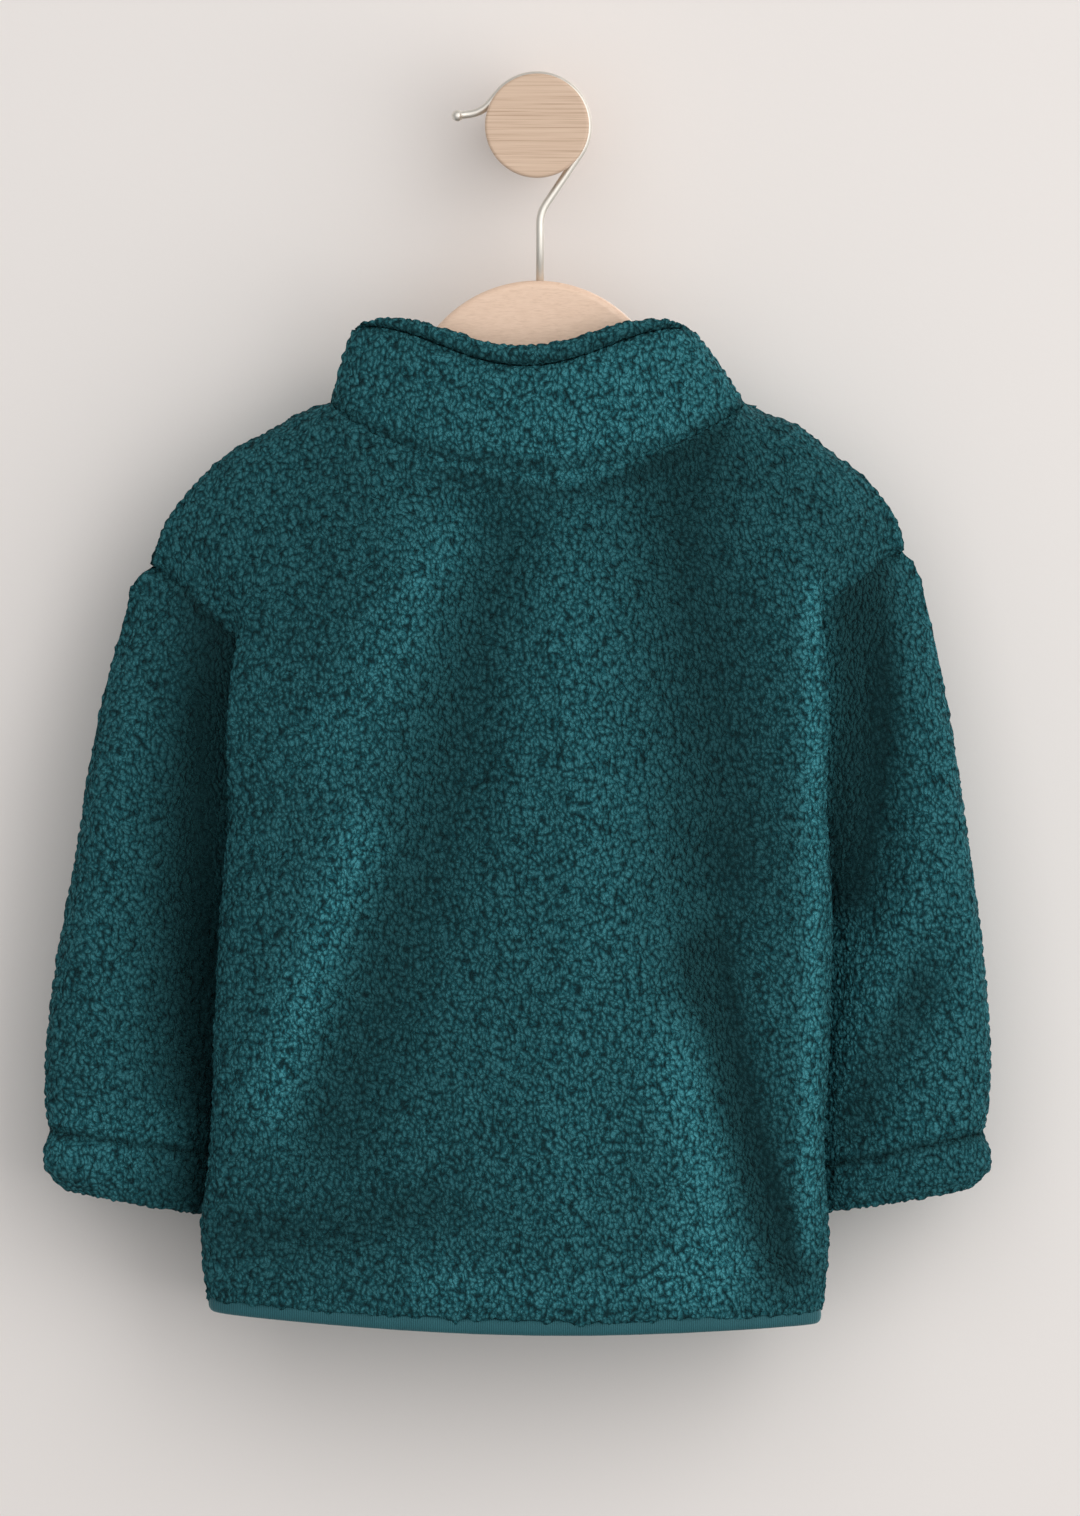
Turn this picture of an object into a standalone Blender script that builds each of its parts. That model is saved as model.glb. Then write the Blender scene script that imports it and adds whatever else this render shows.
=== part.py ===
"""Child's zip-up pile fleece jacket, hung with its back to the room on a wooden hanger and a wall peg.

Metres, +Z up. The origin is the middle of the peg's back face, on the wall. The wall is the plane
y = 0, the room lies towards -Y, and the jacket's fronts and zip face the wall. Left and right
below are those of somebody who looks at the jacket from the room.
"""

import math

import bmesh
import bpy
import numpy as np
from mathutils import Matrix, Vector

# ---------------------------------------------------------------- driving sizes

CLOTH = 0.0045  # pile fleece: knit backing and pile together
SEAM_GAP = 0.0005  # between pieces that are sewn or fixed to each other
SEAM_DIP = 0.0024  # how far a seam pulls the pile in
SEAM_THINNING = 0.0035  # how much thinner the cloth gets there
SHOULDER_DIP = 0.0006
SEAM_LIP = 0.0007  # width of a seam's flat bottom on each piece
SEAM_MATCH = 0.0011  # edge points nearer than this are the same point of a seam
SEAM_REACH = 0.0075  # how far from the seam the pile is pulled in
HANG_Y = -0.0555  # the plane of the hook, the hanger and the shoulder seams

PEG_LENGTH = 0.070
PEG_HEAD_RADIUS = 0.0229
PEG_SEAT_RADIUS = 0.0202
WIRE_RADIUS = 0.00175
HOOK_RADIUS = PEG_SEAT_RADIUS + SEAM_GAP + WIRE_RADIUS
HANGER_THICKNESS = 0.0120

NECK_HALF_WIDTH = 0.0915
NECK_DEPTH = 0.0345  # from the shoulder seams to the collar seam at the middle of the back
SHOULDER_ROUND = 0.0135  # half the thickness of a shoulder over the hanger's arm
UNDERARM = 0.61  # how far up the panels the side seam ends and the armhole starts

ZIP_HALF_WIDTH = 0.0065  # from the zip's middle line to the edges of the fleece
CHAIN_HALF_WIDTH = 0.0023
TAPE_THICKNESS = 0.0010
TAPE_HALF_WIDTH = 0.0090
CUFF_THICKNESS = 0.0065


def table(names, rows):
    """A table with named columns, a row for each section."""
    return dict(zip(names.split(), np.array(rows, float).T))


# The sides of the torso. up runs from the hem (0) to the tip of the shoulder (1), and y is for both
# sides. The side seam serves the back and the fronts, and above it each has its own armhole edge.
SIDE_SEAM = table(
    "up left_x left_z right_x right_z y",
    (
        (0.00, -0.1385, -0.5130, 0.1190, -0.5185, -0.0500),
        (0.08, -0.1370, -0.4870, 0.1175, -0.4920, -0.0500),
        (0.16, -0.1310, -0.4610, 0.1130, -0.4660, -0.0500),
        (0.35, -0.1250, -0.3990, 0.1120, -0.4020, -0.0500),
        (0.50, -0.1200, -0.3520, 0.1110, -0.3540, -0.0490),
        (UNDERARM, -0.1165, -0.3180, 0.1080, -0.3150, -0.0480),
    ),
)
ARMHOLE_BACK = table(
    "up left_x left_z right_x right_z y",
    (
        (0.70, -0.1160, -0.2900, 0.1080, -0.2840, -0.0640),
        (0.80, -0.1190, -0.2560, 0.1120, -0.2480, -0.0740),
        (0.90, -0.1320, -0.2250, 0.1260, -0.2130, -0.0760),
        (0.96, -0.1520, -0.2070, 0.1470, -0.1950, -0.0680),
        (1.00, -0.1710, -0.1920, 0.1630, -0.1860, HANG_Y),
    ),
)
ARMHOLE_FRONT = table(
    "up left_x left_z right_x right_z y",
    (
        (0.70, -0.1190, -0.2900, 0.1100, -0.2840, -0.0340),
        (0.80, -0.1270, -0.2570, 0.1180, -0.2500, -0.0280),
        (0.90, -0.1410, -0.2270, 0.1330, -0.2160, -0.0310),
        (0.96, -0.1560, -0.2070, 0.1500, -0.1960, -0.0420),
        (1.00, -0.1710, -0.1920, 0.1630, -0.1860, HANG_Y),
    ),
)

# The torso's sections: how far the back and the fronts stand off the hanger's plane, how far the
# back's rounded sides reach out past the seams, and how far round a section turns at its edges.
TORSO = table(
    "up back front back_reach front_reach turn_deg",
    (
        (0.00, 0.0430, 0.0370, 0.0135, 0.0020, 90.0),
        (0.10, 0.0465, 0.0400, 0.0190, 0.0020, 90.0),
        (0.30, 0.0490, 0.0415, 0.0235, 0.0020, 90.0),
        (0.60, 0.0490, 0.0415, 0.0265, 0.0020, 90.0),
        (0.80, 0.0450, 0.0385, 0.0225, 0.0020, 90.0),
        (0.90, 0.0410, 0.0350, 0.0080, 0.0010, 80.0),
        (1.00, 0.0360, 0.0345, 0.0000, 0.0000, 62.0),
    ),
)
SQUARENESS = 2.6  # 2 is an ellipse, and more is a boxier section
SHOULDER_RISE = 0.012  # height in which a shoulder rounds over the hanger
NECK_POWER = 0.42  # 0.5 makes the neck an ellipse, and less is boxier
NECK_SOFTENING = 0.060  # height over which the neck's outline fades out of the panels
SWELL_RISE = 0.100  # height in which the cloth reaches its full depth below a shoulder

# The shoulder seams, from the tip of the left shoulder to the neck and on from the neck to the right.
SHOULDER_LEFT = table(
    "x z",
    (
        (-0.1710, -0.1920),
        (-0.1655, -0.1768),
        (-0.1537, -0.1594),
        (-0.1353, -0.1417),
        (-0.1178, -0.1324),
        (-0.1047, -0.1246),
        (-NECK_HALF_WIDTH, -0.1196),
    ),
)
SHOULDER_RIGHT = table(
    "x z",
    (
        (NECK_HALF_WIDTH, -0.1198),
        (0.0990, -0.1240),
        (0.1157, -0.1306),
        (0.1296, -0.1416),
        (0.1500, -0.1593),
        (0.1605, -0.1770),
        (0.1630, -0.1860),
    ),
)
NECK_DROP_BACK = 0.0286  # from the neck points down to the collar seam, at the middle
NECK_DROP_FRONT = 0.0510
HEM_DROP_BACK = 0.0080  # from the side seams down to the middle of the hem
HEM_DROP_FRONT = 0.0075

# The largest folds of the back, as soft ridges (+) and troughs (-). Each runs down through three
# points, and height and width are those of its crest.
FOLDS_BACK = table(
    "height width x1 z1 x2 z2 x3 z3",
    (
        (-0.0080, 0.019, -0.021, -0.180, -0.043, -0.318, -0.086, -0.445),
        (+0.0055, 0.020, -0.044, -0.200, -0.089, -0.325, -0.124, -0.445),
        (+0.0030, 0.010, -0.085, -0.316, -0.105, -0.322, -0.125, -0.340),
        (+0.0050, 0.022, 0.016, -0.180, 0.022, -0.300, 0.056, -0.440),
        (-0.0060, 0.026, 0.060, -0.165, 0.079, -0.265, 0.078, -0.340),
        (-0.0065, 0.017, 0.075, -0.330, 0.088, -0.420, 0.104, -0.485),
        (+0.0045, 0.012, 0.117, -0.225, 0.116, -0.340, 0.115, -0.470),
        (-0.0045, 0.012, -0.135, -0.490, -0.090, -0.482, -0.048, -0.474),
    ),
)
FOLDS_FRONT = table(
    "height width x1 z1 x2 z2 x3 z3",
    (
        (-0.0055, 0.020, -0.060, -0.190, -0.072, -0.320, -0.066, -0.450),
        (+0.0040, 0.020, -0.030, -0.210, -0.032, -0.330, -0.040, -0.470),
        (+0.0040, 0.020, 0.034, -0.200, 0.030, -0.320, 0.024, -0.460),
        (-0.0055, 0.020, 0.062, -0.180, 0.074, -0.330, 0.082, -0.470),
        (+0.0040, 0.018, -0.104, -0.250, -0.106, -0.360, -0.112, -0.470),
    ),
)

# The sleeves, from the armhole down to the cuff seam. Each section has its outer and its inner
# point and half its thickness front to back. The inner point lies nearer to the wall, and lean is
# how much flatter the room's side gets towards it.
SLEEVE_LEFT = table(
    "down outer_x outer_z outer_y inner_x inner_z inner_y half lean",
    (
        (0.00, -0.1710, -0.1920, -0.0555, -0.1165, -0.3180, -0.0480, 0.0240, 0.10),
        (0.04, -0.1815, -0.2010, -0.0535, -0.1195, -0.3250, -0.0440, 0.0240, 0.30),
        (0.10, -0.1850, -0.2180, -0.0525, -0.1225, -0.3330, -0.0400, 0.0240, 0.60),
        (0.22, -0.1940, -0.2570, -0.0520, -0.1265, -0.3480, -0.0370, 0.0240, 0.75),
        (0.40, -0.2025, -0.3130, -0.0515, -0.1285, -0.3720, -0.0365, 0.0240, 0.75),
        (0.60, -0.2125, -0.3690, -0.0510, -0.1330, -0.4020, -0.0370, 0.0240, 0.70),
        (0.80, -0.2172, -0.4140, -0.0510, -0.1370, -0.4300, -0.0385, 0.0235, 0.55),
        (1.00, -0.2160, -0.4420, -0.0510, -0.1400, -0.4530, -0.0400, 0.0205, 0.30),
    ),
)
SLEEVE_RIGHT = table(
    "down outer_x outer_z outer_y inner_x inner_z inner_y half lean",
    (
        (0.00, 0.1630, -0.1860, -0.0555, 0.1080, -0.3150, -0.0480, 0.0240, 0.10),
        (0.04, 0.1700, -0.1970, -0.0535, 0.1110, -0.3220, -0.0440, 0.0240, 0.30),
        (0.10, 0.1745, -0.2160, -0.0525, 0.1140, -0.3300, -0.0400, 0.0240, 0.60),
        (0.22, 0.1815, -0.2530, -0.0520, 0.1180, -0.3450, -0.0370, 0.0240, 0.75),
        (0.40, 0.1895, -0.3070, -0.0515, 0.1195, -0.3700, -0.0370, 0.0240, 0.60),
        (0.60, 0.1970, -0.3630, -0.0510, 0.1200, -0.4020, -0.0380, 0.0240, 0.30),
        (0.80, 0.2003, -0.4110, -0.0510, 0.1195, -0.4340, -0.0390, 0.0240, 0.15),
        (1.00, 0.1980, -0.4430, -0.0510, 0.1190, -0.4590, -0.0400, 0.0205, 0.10),
    ),
)
FOLDS_SLEEVES = table(
    "height width x1 z1 x2 z2 x3 z3",
    (
        (-0.0070, 0.012, -0.146, -0.258, -0.149, -0.330, -0.147, -0.400),
        (+0.0040, 0.016, -0.186, -0.270, -0.190, -0.340, -0.186, -0.420),
        (-0.0065, 0.014, 0.142, -0.222, 0.148, -0.290, 0.146, -0.350),
        (+0.0040, 0.014, 0.154, -0.352, 0.148, -0.385, 0.140, -0.415),
        (-0.0060, 0.014, 0.172, -0.372, 0.160, -0.405, 0.144, -0.432),
    ),
)
ARMHOLE_BLEND = 0.34  # share of a sleeve in which the armhole's shape becomes the sleeve's own

# The turned-up sleeve hems, in the same way, from the seam (0) to the folded edge (1).
CUFF_LEFT = table(
    "down outer_x outer_z outer_y inner_x inner_z inner_y half lean",
    (
        (0.00, -0.2160, -0.4420, -0.0510, -0.1400, -0.4530, -0.0400, 0.0205, 0.30),
        (0.35, -0.2180, -0.4520, -0.0510, -0.1395, -0.4630, -0.0400, 0.0215, 0.30),
        (0.75, -0.2165, -0.4630, -0.0510, -0.1405, -0.4740, -0.0400, 0.0210, 0.30),
        (1.00, -0.2085, -0.4705, -0.0500, -0.1450, -0.4800, -0.0410, 0.0165, 0.30),
    ),
)
CUFF_RIGHT = table(
    "down outer_x outer_z outer_y inner_x inner_z inner_y half lean",
    (
        (0.00, 0.1980, -0.4430, -0.0510, 0.1190, -0.4590, -0.0400, 0.0205, 0.10),
        (0.35, 0.2005, -0.4530, -0.0510, 0.1190, -0.4680, -0.0400, 0.0215, 0.10),
        (0.75, 0.1990, -0.4630, -0.0510, 0.1200, -0.4750, -0.0400, 0.0210, 0.10),
        (1.00, 0.1905, -0.4700, -0.0500, 0.1245, -0.4790, -0.0410, 0.0165, 0.10),
    ),
)

# The stand collar. Its top is narrower than its seam, and the lining rolls over the top edge.
COLLAR_TOP_SHIFT = -0.0065
COLLAR_TOP_WIDTH = 0.824  # of the seam's
COLLAR_TOP_DEPTH = 0.86
COLLAR_RISE = table(  # place is 1 at the middle of the back, 0 at the sides and -1 at the zip
    "place rise",
    (
        (-1.00, 0.0485),
        (-0.50, 0.0450),
        (0.00, 0.0360),
        (0.35, 0.0412),
        (0.66, 0.0508),
        (0.82, 0.0548),
        (0.94, 0.0545),
        (1.00, 0.0526),
    ),
)
COLLAR_CREASE = table("place share", ((-1, 0.90), (0, 0.90), (0.7, 0.86), (1, 0.80)))
COLLAR_BULGE = 0.0003
COLLAR_THICKNESS = 0.0042
COLLAR_LINING = 0.0032
TAPE_CLEARANCE = 0.0018  # from the zip tapes to the lining's ends
COLLAR_LEVELS = (0.0, 0.07, 0.22, 0.5, 0.8, 0.93, 1.0)

# The wooden hanger's outline, right half, seen from the room: a round crown and sloping arms.
CROWN_TOP_Z = -0.0678
CROWN_RADIUS = 0.0580
CROWN_END_X = 0.0440
HANGER_ARM = table(
    "x z",
    (
        (CROWN_END_X, -0.0880),
        (0.0560, -0.1020),
        (0.0690, -0.1172),
        (0.0810, -0.1269),
        (0.0950, -0.1324),
        (0.1080, -0.1366),
        (0.1260, -0.1471),
        (0.1370, -0.1622),
    ),
)
HANGER_BOTTOM = table(
    "x z",
    (
        (0.0000, -0.1260),
        (0.0400, -0.1340),
        (0.0800, -0.1560),
        (0.1120, -0.1740),
        (0.1300, -0.1800),
    ),
)
HOOK_X = 0.0013
HOOK_STEM_TOP_Z = -0.0370
HOOK_IN_WOOD = 0.016


# ---------------------------------------------------------------- curves and grids


def smooth(knots, values, at):
    """A smooth curve through the values at the knots, read at the given places."""
    slopes = np.gradient(values, knots)
    at = np.asarray(at, float)
    i = np.clip(np.searchsorted(knots, at, side="right") - 1, 0, len(knots) - 2)
    step = knots[i + 1] - knots[i]
    t = np.clip((at - knots[i]) / step, 0.0, 1.0)
    start = values[i] * (1 + 2 * t) * (1 - t) ** 2 + step * slopes[i] * t * (1 - t) ** 2
    end = values[i + 1] * t**2 * (3 - 2 * t) - step * slopes[i + 1] * t**2 * (1 - t)
    return start + end


def ease(t):
    """0 to 1 with soft ends."""
    t = np.clip(t, 0.0, 1.0)
    return t * t * (3 - 2 * t)


def lengths(points):
    """How far along a line of points each one lies."""
    steps = np.linalg.norm(np.diff(points, axis=0), axis=1)
    return np.concatenate([[0.0], np.cumsum(steps)])


def along(points, shares):
    """The points at these shares of a line's length."""
    run = lengths(points)
    at = np.asarray(shares) * run[-1]
    return np.stack([np.interp(at, run, points[:, k]) for k in range(3)], axis=1)


def fold_height(folds, x, z):
    """The height of the ridges and troughs at x and z."""
    total = np.zeros_like(x)
    for k in range(len(folds["height"])):
        zs = np.array([folds[f"z{n}"][k] for n in (3, 2, 1)])
        xs = np.array([folds[f"x{n}"][k] for n in (3, 2, 1)])
        width = folds["width"][k]
        if np.ptp(zs) > np.ptp(xs):  # it runs down the cloth
            aside = x - smooth(zs, xs, z)
            past = np.maximum(zs[0] - z, z - zs[-1])
        else:  # it runs across
            order = np.argsort(xs)
            aside = z - smooth(xs[order], zs[order], x)
            past = np.maximum(xs.min() - x, x - xs.max())
        faded = np.exp(-((np.maximum(past, 0.0) / (1.2 * width)) ** 2))
        total += folds["height"][k] * np.exp(-((aside / width) ** 2)) * faded
    return total


def outward(grid, closed):
    """The grid's unit normals, for rows that go up or down and columns that go round."""
    if closed:
        wide = np.concatenate([grid[:, -1:], grid, grid[:, :1]], axis=1)
        across = (wide[:, 2:] - wide[:, :-2]) / 2
    else:
        across = np.gradient(grid, axis=1)
    up = np.gradient(grid, axis=0)
    normal = np.cross(across, up)
    return normal / np.linalg.norm(normal, axis=2, keepdims=True)


def edge_distance(grid, axis):
    """Each point's distance from the two ends of its row or column, along it."""
    steps = np.linalg.norm(np.diff(grid, axis=axis), axis=2)
    run = np.cumsum(steps, axis=axis)
    pad = np.zeros_like(np.take(run, [0], axis=axis))
    run = np.concatenate([pad, run], axis=axis)
    return run, np.take(run, [-1], axis=axis) - run


def edges_of(piece):
    """The index of each edge of a piece's grid, and of the row or column next to it."""
    every = slice(None)
    found = {"start": ((0, every), (1, every)), "end": ((-1, every), (-2, every))}
    if not piece["closed"]:
        found["first"] = ((every, 0), (every, 1))
        found["last"] = ((every, -1), (every, -2))
    return found


def stitch(pieces):
    """Gives the points where edges meet one place and one outward direction between them."""
    for piece in pieces.values():
        piece["normals"] = outward(piece["grid"], piece["closed"])
    spots = []
    for name, piece in pieces.items():
        rows, columns = piece["grid"].shape[:2]
        on_edge = np.zeros((rows, columns), bool)
        for edge, _ in edges_of(piece).values():
            on_edge[edge] = True
        spots += [(name, r, c) for r, c in np.argwhere(on_edge)]
    points = np.array([pieces[name]["grid"][r, c] for name, r, c in spots])
    normals = np.array([pieces[name]["normals"][r, c] for name, r, c in spots])
    for k, (name, r, c) in enumerate(spots):
        near = np.linalg.norm(points - points[k], axis=1) < SEAM_MATCH
        total = normals[near].sum(axis=0)
        pieces[name]["grid"][r, c] = points[near].mean(axis=0)
        pieces[name]["normals"][r, c] = total / np.linalg.norm(total)


def sewn(piece):
    """A piece's grid with its sewn edges dipped and parted from their neighbours.

    Also gives the share of the whole thickness that the cloth has at each point.
    """
    grid, normals = piece["grid"], piece["normals"]
    dip, thinning = np.zeros(grid.shape[:2]), np.zeros(grid.shape[:2])
    ends = edge_distance(grid, 0) + (() if piece["closed"] else edge_distance(grid, 1))
    for name, distance in zip(edges_of(piece), ends):
        near = 1 - ease(distance / SEAM_REACH)
        dip = np.maximum(dip, piece["dips"][name] * near)
        if name not in piece["free"]:
            thinning = np.maximum(thinning, SEAM_THINNING * near)
    for edge, beside in edges_of(piece).values():
        dip[beside], thinning[beside] = dip[edge], thinning[edge]
    made = grid - normals * dip[..., None]
    for edge, beside in edges_of(piece).values():
        line = made[edge].copy()
        inward = np.cross(np.gradient(line, axis=0), normals[edge])
        inward /= np.linalg.norm(inward, axis=1, keepdims=True)
        inward *= np.sign(np.sum(inward * (made[beside] - line), axis=1).sum())
        made[edge] = line + inward * (SEAM_GAP / 2 + 1e-5)
        made[beside] = made[edge] + inward * SEAM_LIP
    return made, 1 - thinning / piece["thickness"]


# ---------------------------------------------------------------- the torso's form

BACK = {"way": -1, "armhole": ARMHOLE_BACK, "folds": FOLDS_BACK, "depth": "back"}
BACK.update(reach="back_reach", neck=NECK_DROP_BACK, hem=HEM_DROP_BACK)
FRONT = {"way": 1, "armhole": ARMHOLE_FRONT, "folds": FOLDS_FRONT, "depth": "front"}
FRONT.update(reach="front_reach", neck=NECK_DROP_FRONT, hem=HEM_DROP_FRONT)


def side_edge(face, hand, up):
    """The point of a panel's side edge, at the side seam or at the armhole."""
    hole = {k: np.concatenate([SIDE_SEAM[k][-1:], face["armhole"][k]]) for k in SIDE_SEAM}
    seamed = [smooth(SIDE_SEAM["up"], SIDE_SEAM[k], up) for k in (f"{hand}_x", "y", f"{hand}_z")]
    free = [smooth(hole["up"], hole[k], up) for k in (f"{hand}_x", "y", f"{hand}_z")]
    below = (np.asarray(up) <= UNDERARM)[..., None]
    return np.where(below, np.stack(seamed, axis=-1), np.stack(free, axis=-1))


def top_edge(face, x):
    """The height of a panel's top edge: shoulder seam, neckline, shoulder seam."""
    left = smooth(SHOULDER_LEFT["x"], SHOULDER_LEFT["z"], x)
    right = smooth(SHOULDER_RIGHT["x"], SHOULDER_RIGHT["z"], x)
    turn = np.clip(x / NECK_HALF_WIDTH, -1.0, 1.0)
    neck_points = SHOULDER_LEFT["z"][-1], SHOULDER_RIGHT["z"][0]
    sloping = neck_points[0] + (neck_points[1] - neck_points[0]) * (turn + 1) / 2
    neck = sloping - face["neck"] * (1 - turn**2) ** 0.8
    return np.where(x <= -NECK_HALF_WIDTH, left, np.where(x >= NECK_HALF_WIDTH, right, neck))


def torso_row(face, up, count=401):
    """One line of points across the back or the fronts, from the left edge to the right."""
    turn = math.radians(smooth(TORSO["up"], TORSO["turn_deg"], up))
    power = 2 / SQUARENESS
    angle = turn * np.linspace(-1, 1, count)
    across = np.sign(angle) * np.abs(np.sin(angle)) ** power / math.sin(turn) ** power
    end = math.cos(turn) ** power if turn < math.pi / 2 - 1e-6 else 0.0
    inner = (np.clip(np.cos(angle), 0, 1) ** power - end) / (1 - end)

    left, right = side_edge(face, "left", up), side_edge(face, "right", up)
    tip_left, tip_right = side_edge(face, "left", 1.0), side_edge(face, "right", 1.0)
    hem_left, hem_right = side_edge(face, "left", 0.0), side_edge(face, "right", 0.0)
    part = (across + 1) / 2

    top_x = tip_left[0] + (tip_right[0] - tip_left[0]) * part
    top = top_edge(face, top_x)
    hem = hem_left[2] + (hem_right[2] - hem_left[2]) * part
    hem = hem - face["hem"] * (1 - across**2)
    z = hem + (top - hem) * up
    miss_left, miss_right = left[2] - z[0], right[2] - z[-1]
    z = z + np.where(across < 0, miss_left, miss_right) * np.abs(across) ** 3

    reach = smooth(TORSO["up"], TORSO[face["reach"]], up)
    bump = np.sin(math.pi * np.abs(angle / turn) ** 2)
    x = left[0] + (right[0] - left[0]) * part + np.sign(angle) * reach * bump

    below = np.maximum(top - z, 0.0)
    within = np.maximum(1 - (top_x / NECK_HALF_WIDTH) ** 2, -1.0)
    softened = np.sqrt(within**2 + (below / NECK_SOFTENING) ** 2)
    necked = np.minimum(((within + softened) / 2) ** NECK_POWER, 1.0)
    neck = NECK_DEPTH * necked / np.maximum(inner, 0.3)
    rounding = SHOULDER_ROUND * (1 - necked)
    over = np.sqrt(1 - (1 - np.clip(below / SHOULDER_RISE, 0, 1)) ** 2)
    full = smooth(TORSO["up"], TORSO[face["depth"]], up)
    swell = np.sin(np.clip(below / SWELL_RISE, 0, 1) * math.pi / 2)
    depth = neck + rounding * over + (full - neck - rounding) * swell
    window = inner * (2 - inner) * ease(below / 0.035)
    depth = depth + fold_height(face["folds"], x, z) * window
    edge = face["way"] * ((left[1] + (right[1] - left[1]) * part) - HANG_Y)
    y = HANG_Y + face["way"] * (edge * (1 - inner) + depth * inner)
    return np.stack([x, y, z], axis=1)


def neck_share(row, x):
    """The share of a top row's length at which it reaches x."""
    run = lengths(row)
    return float(np.interp(x, row[:, 0], run)) / run[-1]


# ---------------------------------------------------------------- materials and objects


def material(name, colour, roughness, metallic=0.0):
    made = bpy.data.materials.new(name)
    made.use_nodes = True
    shader = made.node_tree.nodes["Principled BSDF"]
    shader.inputs["Base Color"].default_value = (*colour, 1.0)
    shader.inputs["Roughness"].default_value = roughness
    shader.inputs["Metallic"].default_value = metallic
    return made


def place(obj, look):
    obj.data.materials.append(look)
    PARTS.objects.link(obj)
    return obj


def mesh_object(name, points, faces, look):
    mesh = bpy.data.meshes.new(name)
    mesh.from_pydata([tuple(p) for p in points], [], faces)
    mesh.validate()
    for polygon in mesh.polygons:
        polygon.use_smooth = True
    return place(bpy.data.objects.new(name, mesh), look)


def cloth(name, piece):
    """A cloth piece: a loft through its grid's rows, thickened inwards to the knit side.

    The grid is the pile's outer face. Next to a seam the cloth is thinner.
    """
    grid, share = sewn(piece)
    closed, thickness = piece["closed"], piece["thickness"]
    rows, columns = grid.shape[:2]
    faces = []
    for r in range(rows - 1):
        for c in range(columns if closed else columns - 1):
            after = (c + 1) % columns
            here, above = r * columns, (r + 1) * columns
            faces.append([here + c, here + after, above + after, above + c])
    obj = mesh_object(name, grid.reshape(-1, 3), faces, FLEECE)
    pile = obj.vertex_groups.new(name="pile")
    for index, weight in enumerate(share.ravel()):
        pile.add([index], weight, "REPLACE")
    solidify = obj.modifiers.new("cloth thickness", "SOLIDIFY")
    solidify.thickness = thickness
    solidify.offset = -1
    solidify.vertex_group = "pile"
    solidify.use_quality_normals = True
    solidify.use_rim = True
    return obj


def swept(name, sections, look, flip=False):
    """A solid through closed sections of equally many points, with a face on each end."""
    count = len(sections[0])
    points = np.concatenate(sections)
    faces = []
    for s in range(len(sections) - 1):
        for k in range(count):
            after = (k + 1) % count
            corners = [
                s * count + k,
                s * count + after,
                (s + 1) * count + after,
                (s + 1) * count + k,
            ]
            faces.append(corners[::-1] if flip else corners)
    last = (len(sections) - 1) * count
    start, end = list(range(count))[::-1], [last + k for k in range(count)]
    faces += [start[::-1], end[::-1]] if flip else [start, end]
    return mesh_object(name, points, faces, look)


def as_mesh(curve_object):
    """A mesh object in place of a curve object, with its caps welded on."""
    graph = bpy.context.evaluated_depsgraph_get()
    mesh = bpy.data.meshes.new_from_object(curve_object.evaluated_get(graph))
    bm = bmesh.new()
    bm.from_mesh(mesh)
    bmesh.ops.remove_doubles(bm, verts=bm.verts, dist=1e-6)
    bmesh.ops.recalc_face_normals(bm, faces=bm.faces)
    bm.to_mesh(mesh)
    bm.free()
    name = curve_object.name
    world = curve_object.matrix_world.copy()
    look = curve_object.data.materials[0]
    bpy.data.objects.remove(curve_object)
    made = bpy.data.objects.new(name, mesh)
    made.matrix_world = world
    mesh.materials.clear()
    return place(made, look)


def cutter(obj):
    """Hides a helper shape, which only cuts or joins another."""
    for collection in obj.users_collection:
        collection.objects.unlink(obj)
    CUTTERS.objects.link(obj)
    obj.hide_render = True
    obj.display_type = "WIRE"
    return obj


def boolean(obj, operand, operation):
    modifier = obj.modifiers.new(operation.lower(), "BOOLEAN")
    modifier.operation = operation
    modifier.object = operand
    modifier.solver = "EXACT"


# ---------------------------------------------------------------- body panels

BODY_UPS = np.concatenate(
    [
        [0.0, 0.012],
        np.linspace(0.04, UNDERARM, 10),
        np.linspace(0.66, 0.88, 5),
        [0.920, 0.952, 0.974, 0.988, 0.995, 1.0],
    ]
)
NECK_SHARES = np.concatenate([[0.0, 0.06], np.linspace(0.14, 0.86, 9), [0.94, 1.0]])
HALF_NECK_SHARES = np.concatenate([[0.0, 0.05], np.linspace(0.16, 0.84, 5), [0.93, 1.0]])
SHOULDER_SHARES = np.concatenate([[0.0, 0.055], np.linspace(0.2, 0.8, 4), [0.945, 1.0]])


def piece_of(grid, closed=False, thickness=CLOTH, free=(), **dips):
    """A piece's grid of points, with its unsewn edges and how much each edge is pulled in."""
    edges = dict.fromkeys(("start", "end", "first", "last"), SEAM_DIP)
    edges.update(dips)
    return {"grid": grid, "closed": closed, "thickness": thickness, "free": free, "dips": edges}


def top_dips(grid):
    """How much each point of a panel's top edge is pulled in: the neckline more than a shoulder."""
    return np.where(np.abs(grid[-1, :, 0]) < NECK_HALF_WIDTH - 0.001, SEAM_DIP, SHOULDER_DIP)


def back_piece():
    top = torso_row(BACK, 1.0)
    neck_left, neck_right = (neck_share(top, s * NECK_HALF_WIDTH) for s in (-1, 1))
    shares = np.concatenate(
        [
            neck_left * SHOULDER_SHARES[:-1],
            neck_left + (neck_right - neck_left) * NECK_SHARES[:-1],
            neck_right + (1 - neck_right) * SHOULDER_SHARES,
        ]
    )
    grid = np.stack([along(torso_row(BACK, up), shares) for up in BODY_UPS])
    return piece_of(grid, end=top_dips(grid))


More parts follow.
